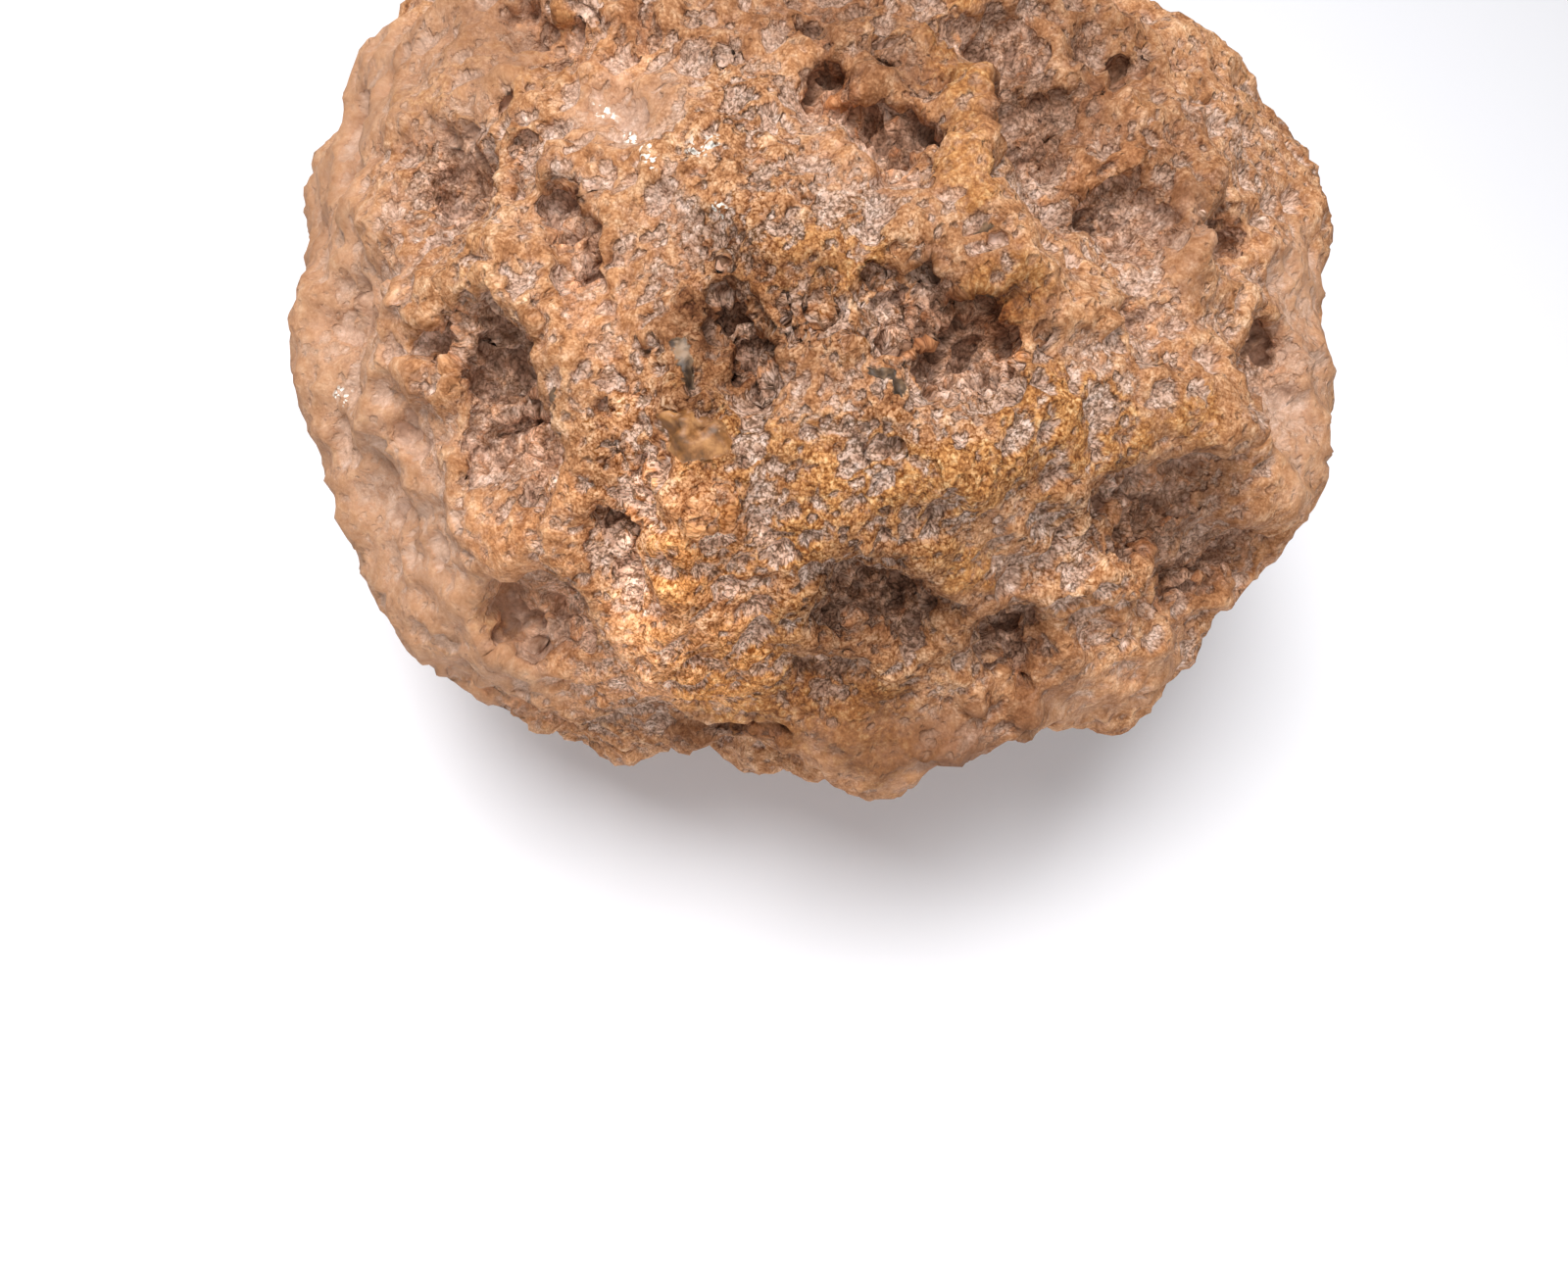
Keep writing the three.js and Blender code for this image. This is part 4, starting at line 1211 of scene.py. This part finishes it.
@dataclass(frozen=True)
class RindFinish:
    """The rind's colours and surface: orange-brown crust over dusty, lavender-grey stone, with painted light
    on crests and lumps, painted shade in hollows, and painted glints.
    """

    crust: Stops = (
        (0.30, linear(132, 84, 50)),
        (0.42, linear(168, 114, 73)),
        (0.54, linear(190, 138, 97)),
        (0.68, linear(218, 174, 136)),
    )
    dust: Stops = (
        (0.30, linear(158, 120, 98)),
        (0.42, linear(186, 150, 128)),
        (0.52, linear(200, 166, 145)),
        (0.66, linear(222, 194, 178)),
    )
    ochre: Stops = (
        (0.30, linear(132, 82, 40)),
        (0.43, linear(172, 113, 60)),
        (0.54, linear(194, 136, 80)),
        (0.68, linear(222, 176, 124)),
    )
    worn: Colour = linear(178, 141, 114)
    rim: Colour = linear(186, 112, 56)
    # painted shade: multiplies the colour in hollows, nooks, dents and pricks
    shade: Colour = (0.34, 0.22, 0.15)
    amber: Stops = ((0.36, linear(98, 66, 38)), (0.5, linear(138, 92, 52)), (0.64, linear(182, 132, 84)))
    glass: Stops = ((0.36, linear(42, 32, 25)), (0.5, linear(76, 58, 43)), (0.68, linear(140, 112, 86)))
    # painted glints: near-white specks in the colour where the sparkle marks lie
    sparkle: Colour = linear(246, 240, 228)
    rough: float = 0.8
    glass_rough: float = 0.45
    specular: float = 0.3
    patch_edge: tuple[float, float] = (0.6, 0.28)
    broad_wave: float = 16.0
    crust_wave: float = 2.2
    ochre_wave: float = 1.0
    dust_wave: float = 1.4
    coarse_contrast: tuple[float, float] = (0.6, 0.4)
    broad_tint: float = 0.3
    ochre_mark: float = 0.6
    ochre_range: tuple[float, float] = (0.55, 0.9)
    edge_range: tuple[float, float] = (0.4, 1.2)
    rim_offset: float = 0.08
    rim_width: float = 0.1
    rim_share: float = 0.22
    worn_share: float = 0.4
    nook_dust: float = 0.8
    hollow_nook_dust: float = -0.6
    shade_weights: tuple[float, float, float] = (0.75, 0.1, 0.4)
    shade_range: tuple[float, float] = (0.3, 2.0)
    shade_share: float = 0.85
    crest_light_range: tuple[float, float] = (-0.15, -0.9)
    fray_wave: float = 1.6
    fray: float = 1.6
    fray_range: tuple[float, float] = (0.35, 0.6)
    streak_wave: float = 2.6
    glint_wave: float = 0.5
    glint_range: tuple[float, float] = (0.7, 0.75)
    sparkle_range: tuple[float, float] = (0.2, 0.7)
    dent_shade: float = 0.05
    prick_shade: float = 0.16
    prick_bump: float = 0.5
    crust_crumb: float = 0.6
    dust_crumb: float = 1.05
    grain_wave: float = 0.6
    crumb_wave: float = 0.42
    grit_wave: float = 0.36
    grit_bend_wave: float = 0.6
    grit_bend: float = 0.2
    crumb_weights: tuple[float, float, float, float] = (0.5, 0.5, -0.55, -0.23)
    crumb_contrast: float = 2.2
    crumb_limits: tuple[float, float] = (-0.6, 0.34)
    crust_tint: Colour = (1.0, 1.28, 1.6)
    dust_tint: Colour = (1.0, 1.08, 1.18)
    # painted light: lightens where the pale marks lie, mostly lit lumps and ridges
    pale: Colour = (1.7, 1.66, 1.6)
    # painted shade: darkens where the deep marks lie, mostly pits, bowls and under the undercut's lip
    deep: Colour = (0.48, 0.40, 0.34)
    # painted light: multiplies the colour on knobs and thin crests inside the hollows
    crest: Colour = (1.6, 1.5, 1.42)
    crest_light_share: float = 0.3
    comb_light_share: float = 0.36
    grain_bump: float = 0.4
    dust_grain_bump: float = 0.52
    smooth_range: tuple[float, float] = (0.3, 0.7)
    step_bump: float = 0.4

    def material(self, pattern: bpy.types.NodeTree) -> bpy.types.Material:
        """Builds the material.

        Args:
            pattern: The rind pattern, built for shaders.

        Returns:
            The material.
        """
        material = bpy.data.materials.new("rind")
        material.use_nodes = True
        tree = material.node_tree
        tree.nodes.clear()
        nodes = Nodes(tree)
        place = nodes.add("ShaderNodeAttribute", attribute_name="rest").outputs["Vector"]
        names = ("sunk", "broad", "dusty", "cavity", "hollow", *(tone.value for tone in Tone))
        marks = {name: nodes.add("ShaderNodeAttribute", attribute_name=name).outputs["Fac"] for name in names}
        rind = nodes.add("ShaderNodeGroup", node_tree=pattern)
        nodes.feed(rind.inputs["Place"], place)
        share = nodes.math("MULTIPLY_ADD", marks["hollow"], self.hollow_nook_dust, self.nook_dust)
        nook = nodes.math("MULTIPLY", marks["cavity"], share)
        nodes.feed(rind.inputs["Dust"], nodes.math("ADD", marks["dusty"], nook))
        colour = self._colour(nodes, place, rind, marks)
        feeds = {"Base Color": colour, "Specular IOR Level": self.specular}
        shader = nodes.add("ShaderNodeBsdfPrincipled", feeds)
        frayed = (self._frayed(nodes, place, marks[name]) for name in ("glass", "amber"))
        glassy = nodes.math("MAXIMUM", *frayed)
        nodes.feed(shader.inputs["Roughness"], nodes.ramp(glassy, 0, 1, self.rough, self.glass_rough))
        nodes.feed(shader.inputs["Normal"], self._normal(nodes, place, rind, marks))
        nodes.add("ShaderNodeOutputMaterial", {"Surface": shader.outputs[0]})
        return material

    def _stops(self, nodes: Nodes, value: Socket, stops: Stops) -> Socket:
        """A colour picked from a row of them.

        Args:
            nodes: The material's nodes.
            value: Where on the row.
            stops: The row, as places from 0 to 1 and their colours.

        Returns:
            The colour's socket.
        """
        node = nodes.add("ShaderNodeValToRGB", {0: value})
        row = node.color_ramp.elements
        while len(row) < len(stops):
            row.new(0.5)
        for element, (place, colour) in zip(row, stops):
            element.position = place
            element.color = (*colour, 1)
        return node.outputs[0]

    def _stretched(self, nodes: Nodes, value: Socket, marks: dict[str, Socket]) -> Socket:
        """A noise value with its distance from the middle stretched where the rind is coarse."""
        contrast = nodes.math("MULTIPLY_ADD", marks["coarse"], *self.coarse_contrast)
        centred = nodes.math("SUBTRACT", value, 0.5)
        return nodes.math("MULTIPLY_ADD", centred, contrast, 0.5)

    def _frayed(self, nodes: Nodes, place: Socket, mark: Socket) -> Socket:
        """A mark with a ragged edge."""
        ragged = nodes.noise(place, self.fray_wave, 3.0, 0.6).outputs[0]
        total = nodes.total((mark, 1.0), (ragged, self.fray), (1.0, -self.fray / 2))
        return nodes.ramp(total, *self.fray_range)

    def _colour(
        self,
        nodes: Nodes,
        place: Socket,
        rind: bpy.types.Node,
        marks: dict[str, Socket],
    ) -> Socket:
        """The rind's colour.

        Args:
            nodes: The material's nodes.
            place: Where the point lies on the undressed stone.
            rind: The rind pattern's node.
            marks: The stored marks by name.

        Returns:
            The colour's socket.
        """
        broad = nodes.noise(place, self.broad_wave, 3.0, 0.6).outputs[0]
        crust = self._crust(nodes, place, marks, broad)
        speck = nodes.noise(place, self.dust_wave, 3.0, 0.6).outputs[0]
        dust = self._stops(nodes, self._stretched(nodes, speck, marks), self.dust)
        edge = nodes.ramp(marks["coarse"], *self.edge_range, *self.patch_edge)
        patch = nodes.ramp(rind.outputs["Over"], nodes.math("MULTIPLY", edge, -1.0), edge)
        colour = nodes.mix(patch, crust, dust)
        inner = nodes.math("ABSOLUTE", nodes.math("ADD", rind.outputs["Over"], self.rim_offset))
        rim = nodes.math("MULTIPLY", nodes.ramp(inner, self.rim_width, 0.0), self.rim_share)
        colour = nodes.mix(rim, colour, self.rim)
        worn = nodes.ramp(marks["worn"], 0.0, 1.0, 0.0, self.worn_share)
        colour = nodes.mix(worn, colour, self.worn)
        # painted light on crests and painted shade in hollows, dents and pricks
        colour = self._lit(nodes, rind, marks, colour)
        tinted = self._crumbs(nodes, place, patch, marks["coarse"])
        colour = nodes.vector("MULTIPLY", colour, tinted)
        # painted light where the pale marks lie
        colour = nodes.mix(marks["pale"], colour, self.pale, "MULTIPLY")
        # painted shade where the deep marks lie
        colour = nodes.mix(marks["deep"], colour, self.deep, "MULTIPLY")
        streak = nodes.noise(place, self.streak_wave, 4.0, 0.6).outputs[0]
        for mark, stops in (("amber", self.amber), ("glass", self.glass)):
            frayed = self._frayed(nodes, place, marks[mark])
            colour = nodes.mix(frayed, colour, self._stops(nodes, streak, stops))
        # painted glints: white specks on scattered cells
        picked = nodes.part(nodes.cells(place, self.glint_wave).outputs["Color"])
        sparkling = nodes.ramp(marks["sparkle"], *self.sparkle_range)
        glint = nodes.math("MULTIPLY", nodes.ramp(picked, *self.glint_range), sparkling)
        return nodes.mix(glint, colour, self.sparkle)

    def _crust(
        self, nodes: Nodes, place: Socket, marks: dict[str, Socket], broad: Socket
    ) -> Socket:
        """The crust's colour, with its ochre parts.

        Args:
            nodes: The material's nodes.
            place: Where the point lies on the undressed stone.
            marks: The stored marks by name.
            broad: A slow drift from 0 to 1.

        Returns:
            The colour's socket.
        """
        fine = nodes.noise(place, self.crust_wave, 3.0, 0.6).outputs[0]
        fine = self._stretched(nodes, fine, marks)
        picked = nodes.total((fine, 1.0), (broad, self.broad_tint), (0.5, -self.broad_tint))
        crust = self._stops(nodes, picked, self.crust)
        rusty = nodes.noise(place, self.ochre_wave, 3.0, 0.6).outputs[0]
        rust = self._stops(nodes, rusty, self.ochre)
        share = nodes.total((marks["ochre"], self.ochre_mark), (broad, 1.0))
        return nodes.mix(nodes.ramp(share, *self.ochre_range), crust, rust)

    def _lit(
        self, nodes: Nodes, rind: bpy.types.Node, marks: dict[str, Socket], colour: Socket
    ) -> Socket:
        """A colour with painted light on crests and painted shade in nooks, dents and pricks.

        Args:
            nodes: The material's nodes.
            rind: The rind pattern's node.
            marks: The stored marks by name.
            colour: The colour before.

        Returns:
            The changed colour's socket.
        """
        # painted shade, stronger where the surface lies lower than the stone around it
        deep = zip((marks["cavity"], marks["sunk"], marks["broad"]), self.shade_weights)
        shade = nodes.ramp(nodes.total(*deep), *self.shade_range, 0.0, self.shade_share)
        # painted light on knobs inside the hollows
        crest = nodes.ramp(marks["cavity"], *self.crest_light_range, 0.0, self.crest_light_share)
        crest = nodes.math("MULTIPLY", crest, marks["hollow"])
        colour = nodes.mix(crest, colour, self.crest, "MULTIPLY")
        # painted light on the thin crests of the hollows' floors
        thin = nodes.math("POWER", rind.outputs["Crest"], 2.0)
        thin = nodes.math("MULTIPLY", thin, marks["hollow"])
        thin = nodes.math("MULTIPLY", thin, self.comb_light_share)
        colour = nodes.mix(thin, colour, self.crest, "MULTIPLY")
        # painted shade in the dents and pricks
        nook = nodes.total(
            (rind.outputs["Dent"], self.dent_shade), (rind.outputs["Prick"], self.prick_shade)
        )
        shade = nodes.math("MAXIMUM", shade, nodes.math("MULTIPLY", nook, marks["coarse"]))
        return nodes.mix(shade, colour, self.shade, "MULTIPLY")

    def _crumbs(self, nodes: Nodes, place: Socket, patch: Socket, coarse: Socket) -> Socket:
        """What the crumbs of crust and dust multiply the colour by.

        Args:
            nodes: The material's nodes.
            place: Where the point lies on the undressed stone.
            patch: 1 in a dusty patch.
            coarse: How coarse the rind is.

        Returns:
            The factor's socket, near 1 for each channel.
        """
        bent = nodes.shifted(place, self.grit_bend_wave, self.grit_bend)
        grains = nodes.cells(bent, self.grit_wave)
        grit = nodes.part(grains.outputs["Color"])
        crumb = nodes.noise(place, self.crumb_wave, 3.0, 0.75).outputs[0]
        parts = (crumb, grit, grains.outputs["Distance"], 1.0)
        crumb = nodes.total(*zip(parts, self.crumb_weights))
        contrast = nodes.math("MULTIPLY_ADD", coarse, *self.coarse_contrast)
        strength = nodes.ramp(patch, 0, 1, self.crust_crumb, self.dust_crumb)
        for factor in (coarse, contrast, self.crumb_contrast, strength):
            crumb = nodes.math("MULTIPLY", crumb, factor)
        crumb = nodes.math("MAXIMUM", crumb, self.crumb_limits[0])
        crumb = nodes.math("MINIMUM", crumb, self.crumb_limits[1])
        tint = nodes.mix(patch, self.crust_tint, self.dust_tint)
        return nodes.vector("MULTIPLY_ADD", crumb, tint, (1, 1, 1))

    def _normal(
        self,
        nodes: Nodes,
        place: Socket,
        rind: bpy.types.Node,
        marks: dict[str, Socket],
    ) -> Socket:
        """The normal with the relief that is finer than the mesh.

        Args:
            nodes: The material's nodes.
            place: Where the point lies on the undressed stone.
            rind: The rind pattern's node.
            marks: The stored marks by name.

        Returns:
            The normal's socket.
        """
        coarse = marks["coarse"]
        grain = nodes.noise(place, self.grain_wave, 5.0, 0.7).outputs[0]
        loose = nodes.ramp(rind.outputs["Patch"], 0, 1, self.grain_bump, self.dust_grain_bump)
        height = nodes.math("MULTIPLY", nodes.math("MULTIPLY", grain, loose), coarse)
        step = nodes.math("MULTIPLY", rind.outputs["Patch"], coarse)
        height = nodes.math("MULTIPLY_ADD", step, -self.step_bump, height)
        prick = nodes.math("MULTIPLY", rind.outputs["Prick"], coarse)
        height = nodes.math("MULTIPLY_ADD", prick, -self.prick_bump, height)
        glassy = nodes.math("MAXIMUM", marks["glass"], marks["amber"])
        smooth = nodes.ramp(glassy, *self.smooth_range, 1.0, 0.0)
        height = nodes.math("MULTIPLY", height, smooth)
        bump = nodes.add("ShaderNodeBump", {"Strength": 1.0, "Distance": MM, "Height": height})
        return bump.outputs["Normal"]


# The stone


@dataclass
class Geode:
    """The whole nodule: its dense, carved and weathered mesh, dressed in its rind."""

    node: bpy.types.Object
    camera: StoneCamera
    levels: int = 3
    quick_levels: int = 2
    most_triangles: int = 196000
    broad_rounds: int = 14
    broad_depth: float = 3.0
    drift_wave: float = 12.0
    cavity_rounds: int = 8
    cavity_depth: float = 0.38
    sunk_dust: float = 0.6
    sunk_range: tuple[float, float] = (0.3, 3.0)
    broad_dust: float = 0.8
    least_dust: float = 0.05
    drift_dust: float = 0.45
    raised_dust: float = 0.7
    dust_limits: tuple[float, float] = (-1.0, 1.2)
    broad_hollow: float = 1.6
    hollow_range: tuple[float, float] = (0.4, 2.4)
    coarseness: float = 0.85
    worn_coarseness: float = 0.8
    mark_coarseness: float = 0.55
    drift_coarseness: float = 0.15
    coarse_limits: tuple[float, float] = (0.2, 1.5)
    resting_depth: float = 0.05
    merge_distance: float = 0.01
    shown_angle: tuple[float, float] = (55.0, 78.0)
    shown_axis: tuple[float, float, float] = (0.17, -0.70, 0.69)
    base_margin: float = 2.0
    box_ease: float = 0.985

    def build(self) -> bpy.types.Object:
        """Makes the dressed stone and puts it in the scene.

        Returns:
            The stone's object.
        """
        base = self._merged()
        tree = BVHTree.FromPolygons(
            [v.co for v in base.vertices], [tuple(p.vertices) for p in base.polygons]
        )
        self._mark_broad(base)
        dense = self._refined(base)
        surface = Surface(dense)
        self._mark_sides(surface)
        carver = Carver(surface, self.camera, tree)
        carver.stain(STAINS)
        carver.carve(HOLLOWS, RIDGES)
        surface.store("rest", surface.points * MM)
        surface.write()
        self._mark_dust(surface)
        finished = self._weathered(dense)
        self._fit(finished)
        self._mark_cavities(finished.data)
        return finished

    def _merged(self) -> bpy.types.Mesh:
        """A copy of the solid's mesh with its shared corners merged."""
        mesh = bpy.data.meshes.new("geode_base")
        work = bmesh.new()
        work.from_mesh(self.node.data)
        bmesh.ops.remove_doubles(work, verts=work.verts, dist=self.merge_distance * MM)
        work.to_mesh(mesh)
        work.free()
        LOG.info("base: %d points, %d faces", len(mesh.vertices), len(mesh.polygons))
        return mesh

    def _mark_broad(self, mesh: bpy.types.Mesh) -> None:
        """Stores how far each point lies below the stone around it, as a share of a full hollow."""
        surface = Surface(mesh)
        around = surface.blurred(surface.points, self.broad_rounds)
        below = ((around - surface.points) * surface.normals).sum(axis=1)
        surface.store("broad", np.clip(below / self.broad_depth, -1, 1))

    def _refined(self, mesh: bpy.types.Mesh) -> bpy.types.Mesh:
        """The mesh subdivided into a smooth, dense one."""
        levels = self.levels
        work = bpy.data.objects.new("geode_work", mesh)
        bpy.context.scene.collection.objects.link(work)
        modifier = work.modifiers.new("refine", "SUBSURF")
        modifier.levels = modifier.render_levels = levels
        evaluated = work.evaluated_get(bpy.context.evaluated_depsgraph_get())
        dense = bpy.data.meshes.new_from_object(evaluated)
        bpy.data.objects.remove(work)
        LOG.info("dense: %d points", len(dense.vertices))
        return dense

    def _mark_sides(self, surface: Surface) -> None:
        """Stores which side the landmarks are on, and where the resting face leaves room for relief."""
        middle = surface.points.mean(axis=0)
        outward = surface.points - middle
        outward /= np.linalg.norm(outward, axis=1)[:, None]
        axis = np.array(self.shown_axis) / np.linalg.norm(self.shown_axis)
        angle = np.degrees(np.arccos(np.clip(outward @ axis, -1, 1)))
        surface.store("shown", 1 - smoothstep(*self.shown_angle, angle))
        surface.store("free", smoothstep(0, self.base_margin, surface.points[:, 2]))

    def _mark_dust(self, surface: Surface) -> None:
        """Stores how dusty and how coarse the rind is at each point."""
        rest = surface.read_vectors("rest") / MM
        drift = lattice_noise(rest, self.drift_wave, 31)
        sunk, broad = surface.scalar("sunk"), surface.scalar("broad")
        dusty = self.sunk_dust * smoothstep(*self.sunk_range, sunk) + self.broad_dust * broad
        dusty += self.least_dust + self.drift_dust * drift
        dusty += surface.scalar("dust") - self.raised_dust * surface.scalar("raised")
        surface.store("dusty", np.clip(dusty, *self.dust_limits))
        hollow = sunk + self.broad_hollow * np.clip(broad, 0, 1)
        surface.store("hollow", smoothstep(*self.hollow_range, hollow))
        coarse = self.coarseness - self.worn_coarseness * surface.scalar("worn")
        coarse += self.mark_coarseness * surface.scalar("coarse") + self.drift_coarseness * drift
        surface.store("coarse", np.clip(coarse, *self.coarse_limits))

    def _mark_cavities(self, mesh: bpy.types.Mesh) -> None:
        """Stores how far each point lies below its near neighbours: 1 in a deep nook, -1 on a knob."""
        surface = Surface(mesh)
        around = surface.blurred(surface.points, self.cavity_rounds)
        below = ((around - surface.points) * surface.normals).sum(axis=1)
        surface.store("cavity", np.clip(below / self.cavity_depth, -1, 1))

    def _weathered(self, dense: bpy.types.Mesh) -> bpy.types.Object:
        """The stone with its weathering and rind, thinned to its final number of faces.

        Args:
            dense: The carved mesh.

        Returns:
            An object with a plain mesh and no modifiers.
        """
        rind = RindFinish().material(RindPattern().build(GroupKind.SHADER))
        weathering = Weathering()
        stone = bpy.data.objects.new("geode_rind", dense)
        bpy.context.scene.collection.objects.link(stone)
        relief = stone.modifiers.new("weathering", "NODES")
        relief.node_group = weathering.tree(RindPattern().build(GroupKind.GEOMETRY))
        for item in relief.node_group.interface.items_tree:
            if item.in_out == "INPUT" and item.name in weathering.sizes():
                relief[item.identifier] = weathering.sizes()[item.name]
            elif item.in_out == "INPUT" and item.name == "Rind":
                relief[item.identifier] = rind
        triangles = sum(len(p.vertices) - 2 for p in dense.polygons)
        if triangles > self.most_triangles:
            thin = stone.modifiers.new("thin", "DECIMATE")
            thin.ratio = self.most_triangles / triangles
        evaluated = stone.evaluated_get(bpy.context.evaluated_depsgraph_get())
        final = bpy.data.meshes.new_from_object(evaluated)
        stone.modifiers.clear()
        stone.data = final
        final.polygons.foreach_set("use_smooth", [True] * len(final.polygons))
        LOG.info("final: %d points, %d faces", len(final.vertices), len(final.polygons))
        return stone

    def _fit(self, stone: bpy.types.Object) -> None:
        """Keeps the stone inside its solid's box and above the surface that it rests on."""
        low, high = (np.array(corner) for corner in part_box(NODE))
        middle, half = (low + high) / 2, (high - low) / 2
        points = np.empty(len(stone.data.vertices) * 3)
        stone.data.vertices.foreach_get("co", points)
        share = (points.reshape(-1, 3) - middle) / half
        size = np.abs(share)
        room = 1 - self.box_ease
        eased = self.box_ease + room * np.tanh((size - self.box_ease) / room)
        share = np.sign(share) * np.where(size > self.box_ease, eased, size)
        fitted = share * half + middle
        resting = points.reshape(-1, 3)[:, 2] < self.resting_depth * MM
        fitted[:, 2] = np.where(resting, low[2], fitted[:, 2])
        stone.data.vertices.foreach_set("co", fitted.ravel())
        stone.data.update()


# Floor and light


@dataclass(frozen=True)
class Studio:
    """A plain pale floor, a large soft light above and behind the stone, and pale surroundings."""

    floor_size: float = 6000.0
    floor_colour: Colour = linear(238, 238, 242)
    key_place: tuple[float, float, float] = (-150.0, 30.0, 790.0)
    key_size: float = 420.0
    key_watts: float = 7.2
    fill_place: tuple[float, float, float] = (200.0, -500.0, 420.0)
    fill_size: float = 600.0
    fill_watts: float = 1.7
    surroundings: float = 0.235

    def add(self) -> None:
        """Makes the floor, the lights and the world."""
        half = self.floor_size * MM / 2
        mesh = bpy.data.meshes.new("floor")
        corners = [(-half, -half, 0), (half, -half, 0), (half, half, 0), (-half, half, 0)]
        mesh.from_pydata(corners, [], [(0, 1, 2, 3)])
        floor = bpy.data.objects.new("floor", mesh)
        bpy.context.scene.collection.objects.link(floor)
        floor.data.materials.append(self._paint())
        self._light("key", self.key_place, self.key_size, self.key_watts)
        self._light("fill", self.fill_place, self.fill_size, self.fill_watts)
        world = bpy.data.worlds.new("surroundings")
        world.use_nodes = True
        background = world.node_tree.nodes["Background"]
        background.inputs["Color"].default_value = (1, 1, 1, 1)
        background.inputs["Strength"].default_value = self.surroundings
        bpy.context.scene.world = world
        bpy.context.scene.view_settings.view_transform = "Standard"

    def _paint(self) -> bpy.types.Material:
        """The floor's material."""
        material = bpy.data.materials.new("floor")
        material.use_nodes = True
        shader = material.node_tree.nodes["Principled BSDF"]
        shader.inputs["Base Color"].default_value = (*self.floor_colour, 1)
        shader.inputs["Roughness"].default_value = 0.9
        return material

    def _light(self, name: str, place: tuple[float, float, float], size: float, watts: float) -> None:
        """Adds a square light that faces the stone."""
        data = bpy.data.lights.new(name, "AREA")
        data.size = size * MM
        data.energy = watts
        light = bpy.data.objects.new(name, data)
        light.location = Vector(place) * MM
        light.rotation_mode = "QUATERNION"
        light.rotation_quaternion = Vector(place).to_track_quat("Z", "Y")
        bpy.context.scene.collection.objects.link(light)


def main() -> None:
    """Builds the camera, the stone and the studio."""
    logging.basicConfig(level=logging.INFO, format="%(name)s: %(message)s")
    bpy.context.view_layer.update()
    camera = StoneCamera()
    camera.add()
    stone = Geode(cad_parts[NODE], camera).build()
    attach(stone, "root")
    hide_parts(NODE)
    LOG.info("stone: %s", stone.name)
    Studio().add()


if __name__ == "__main__":
    main()
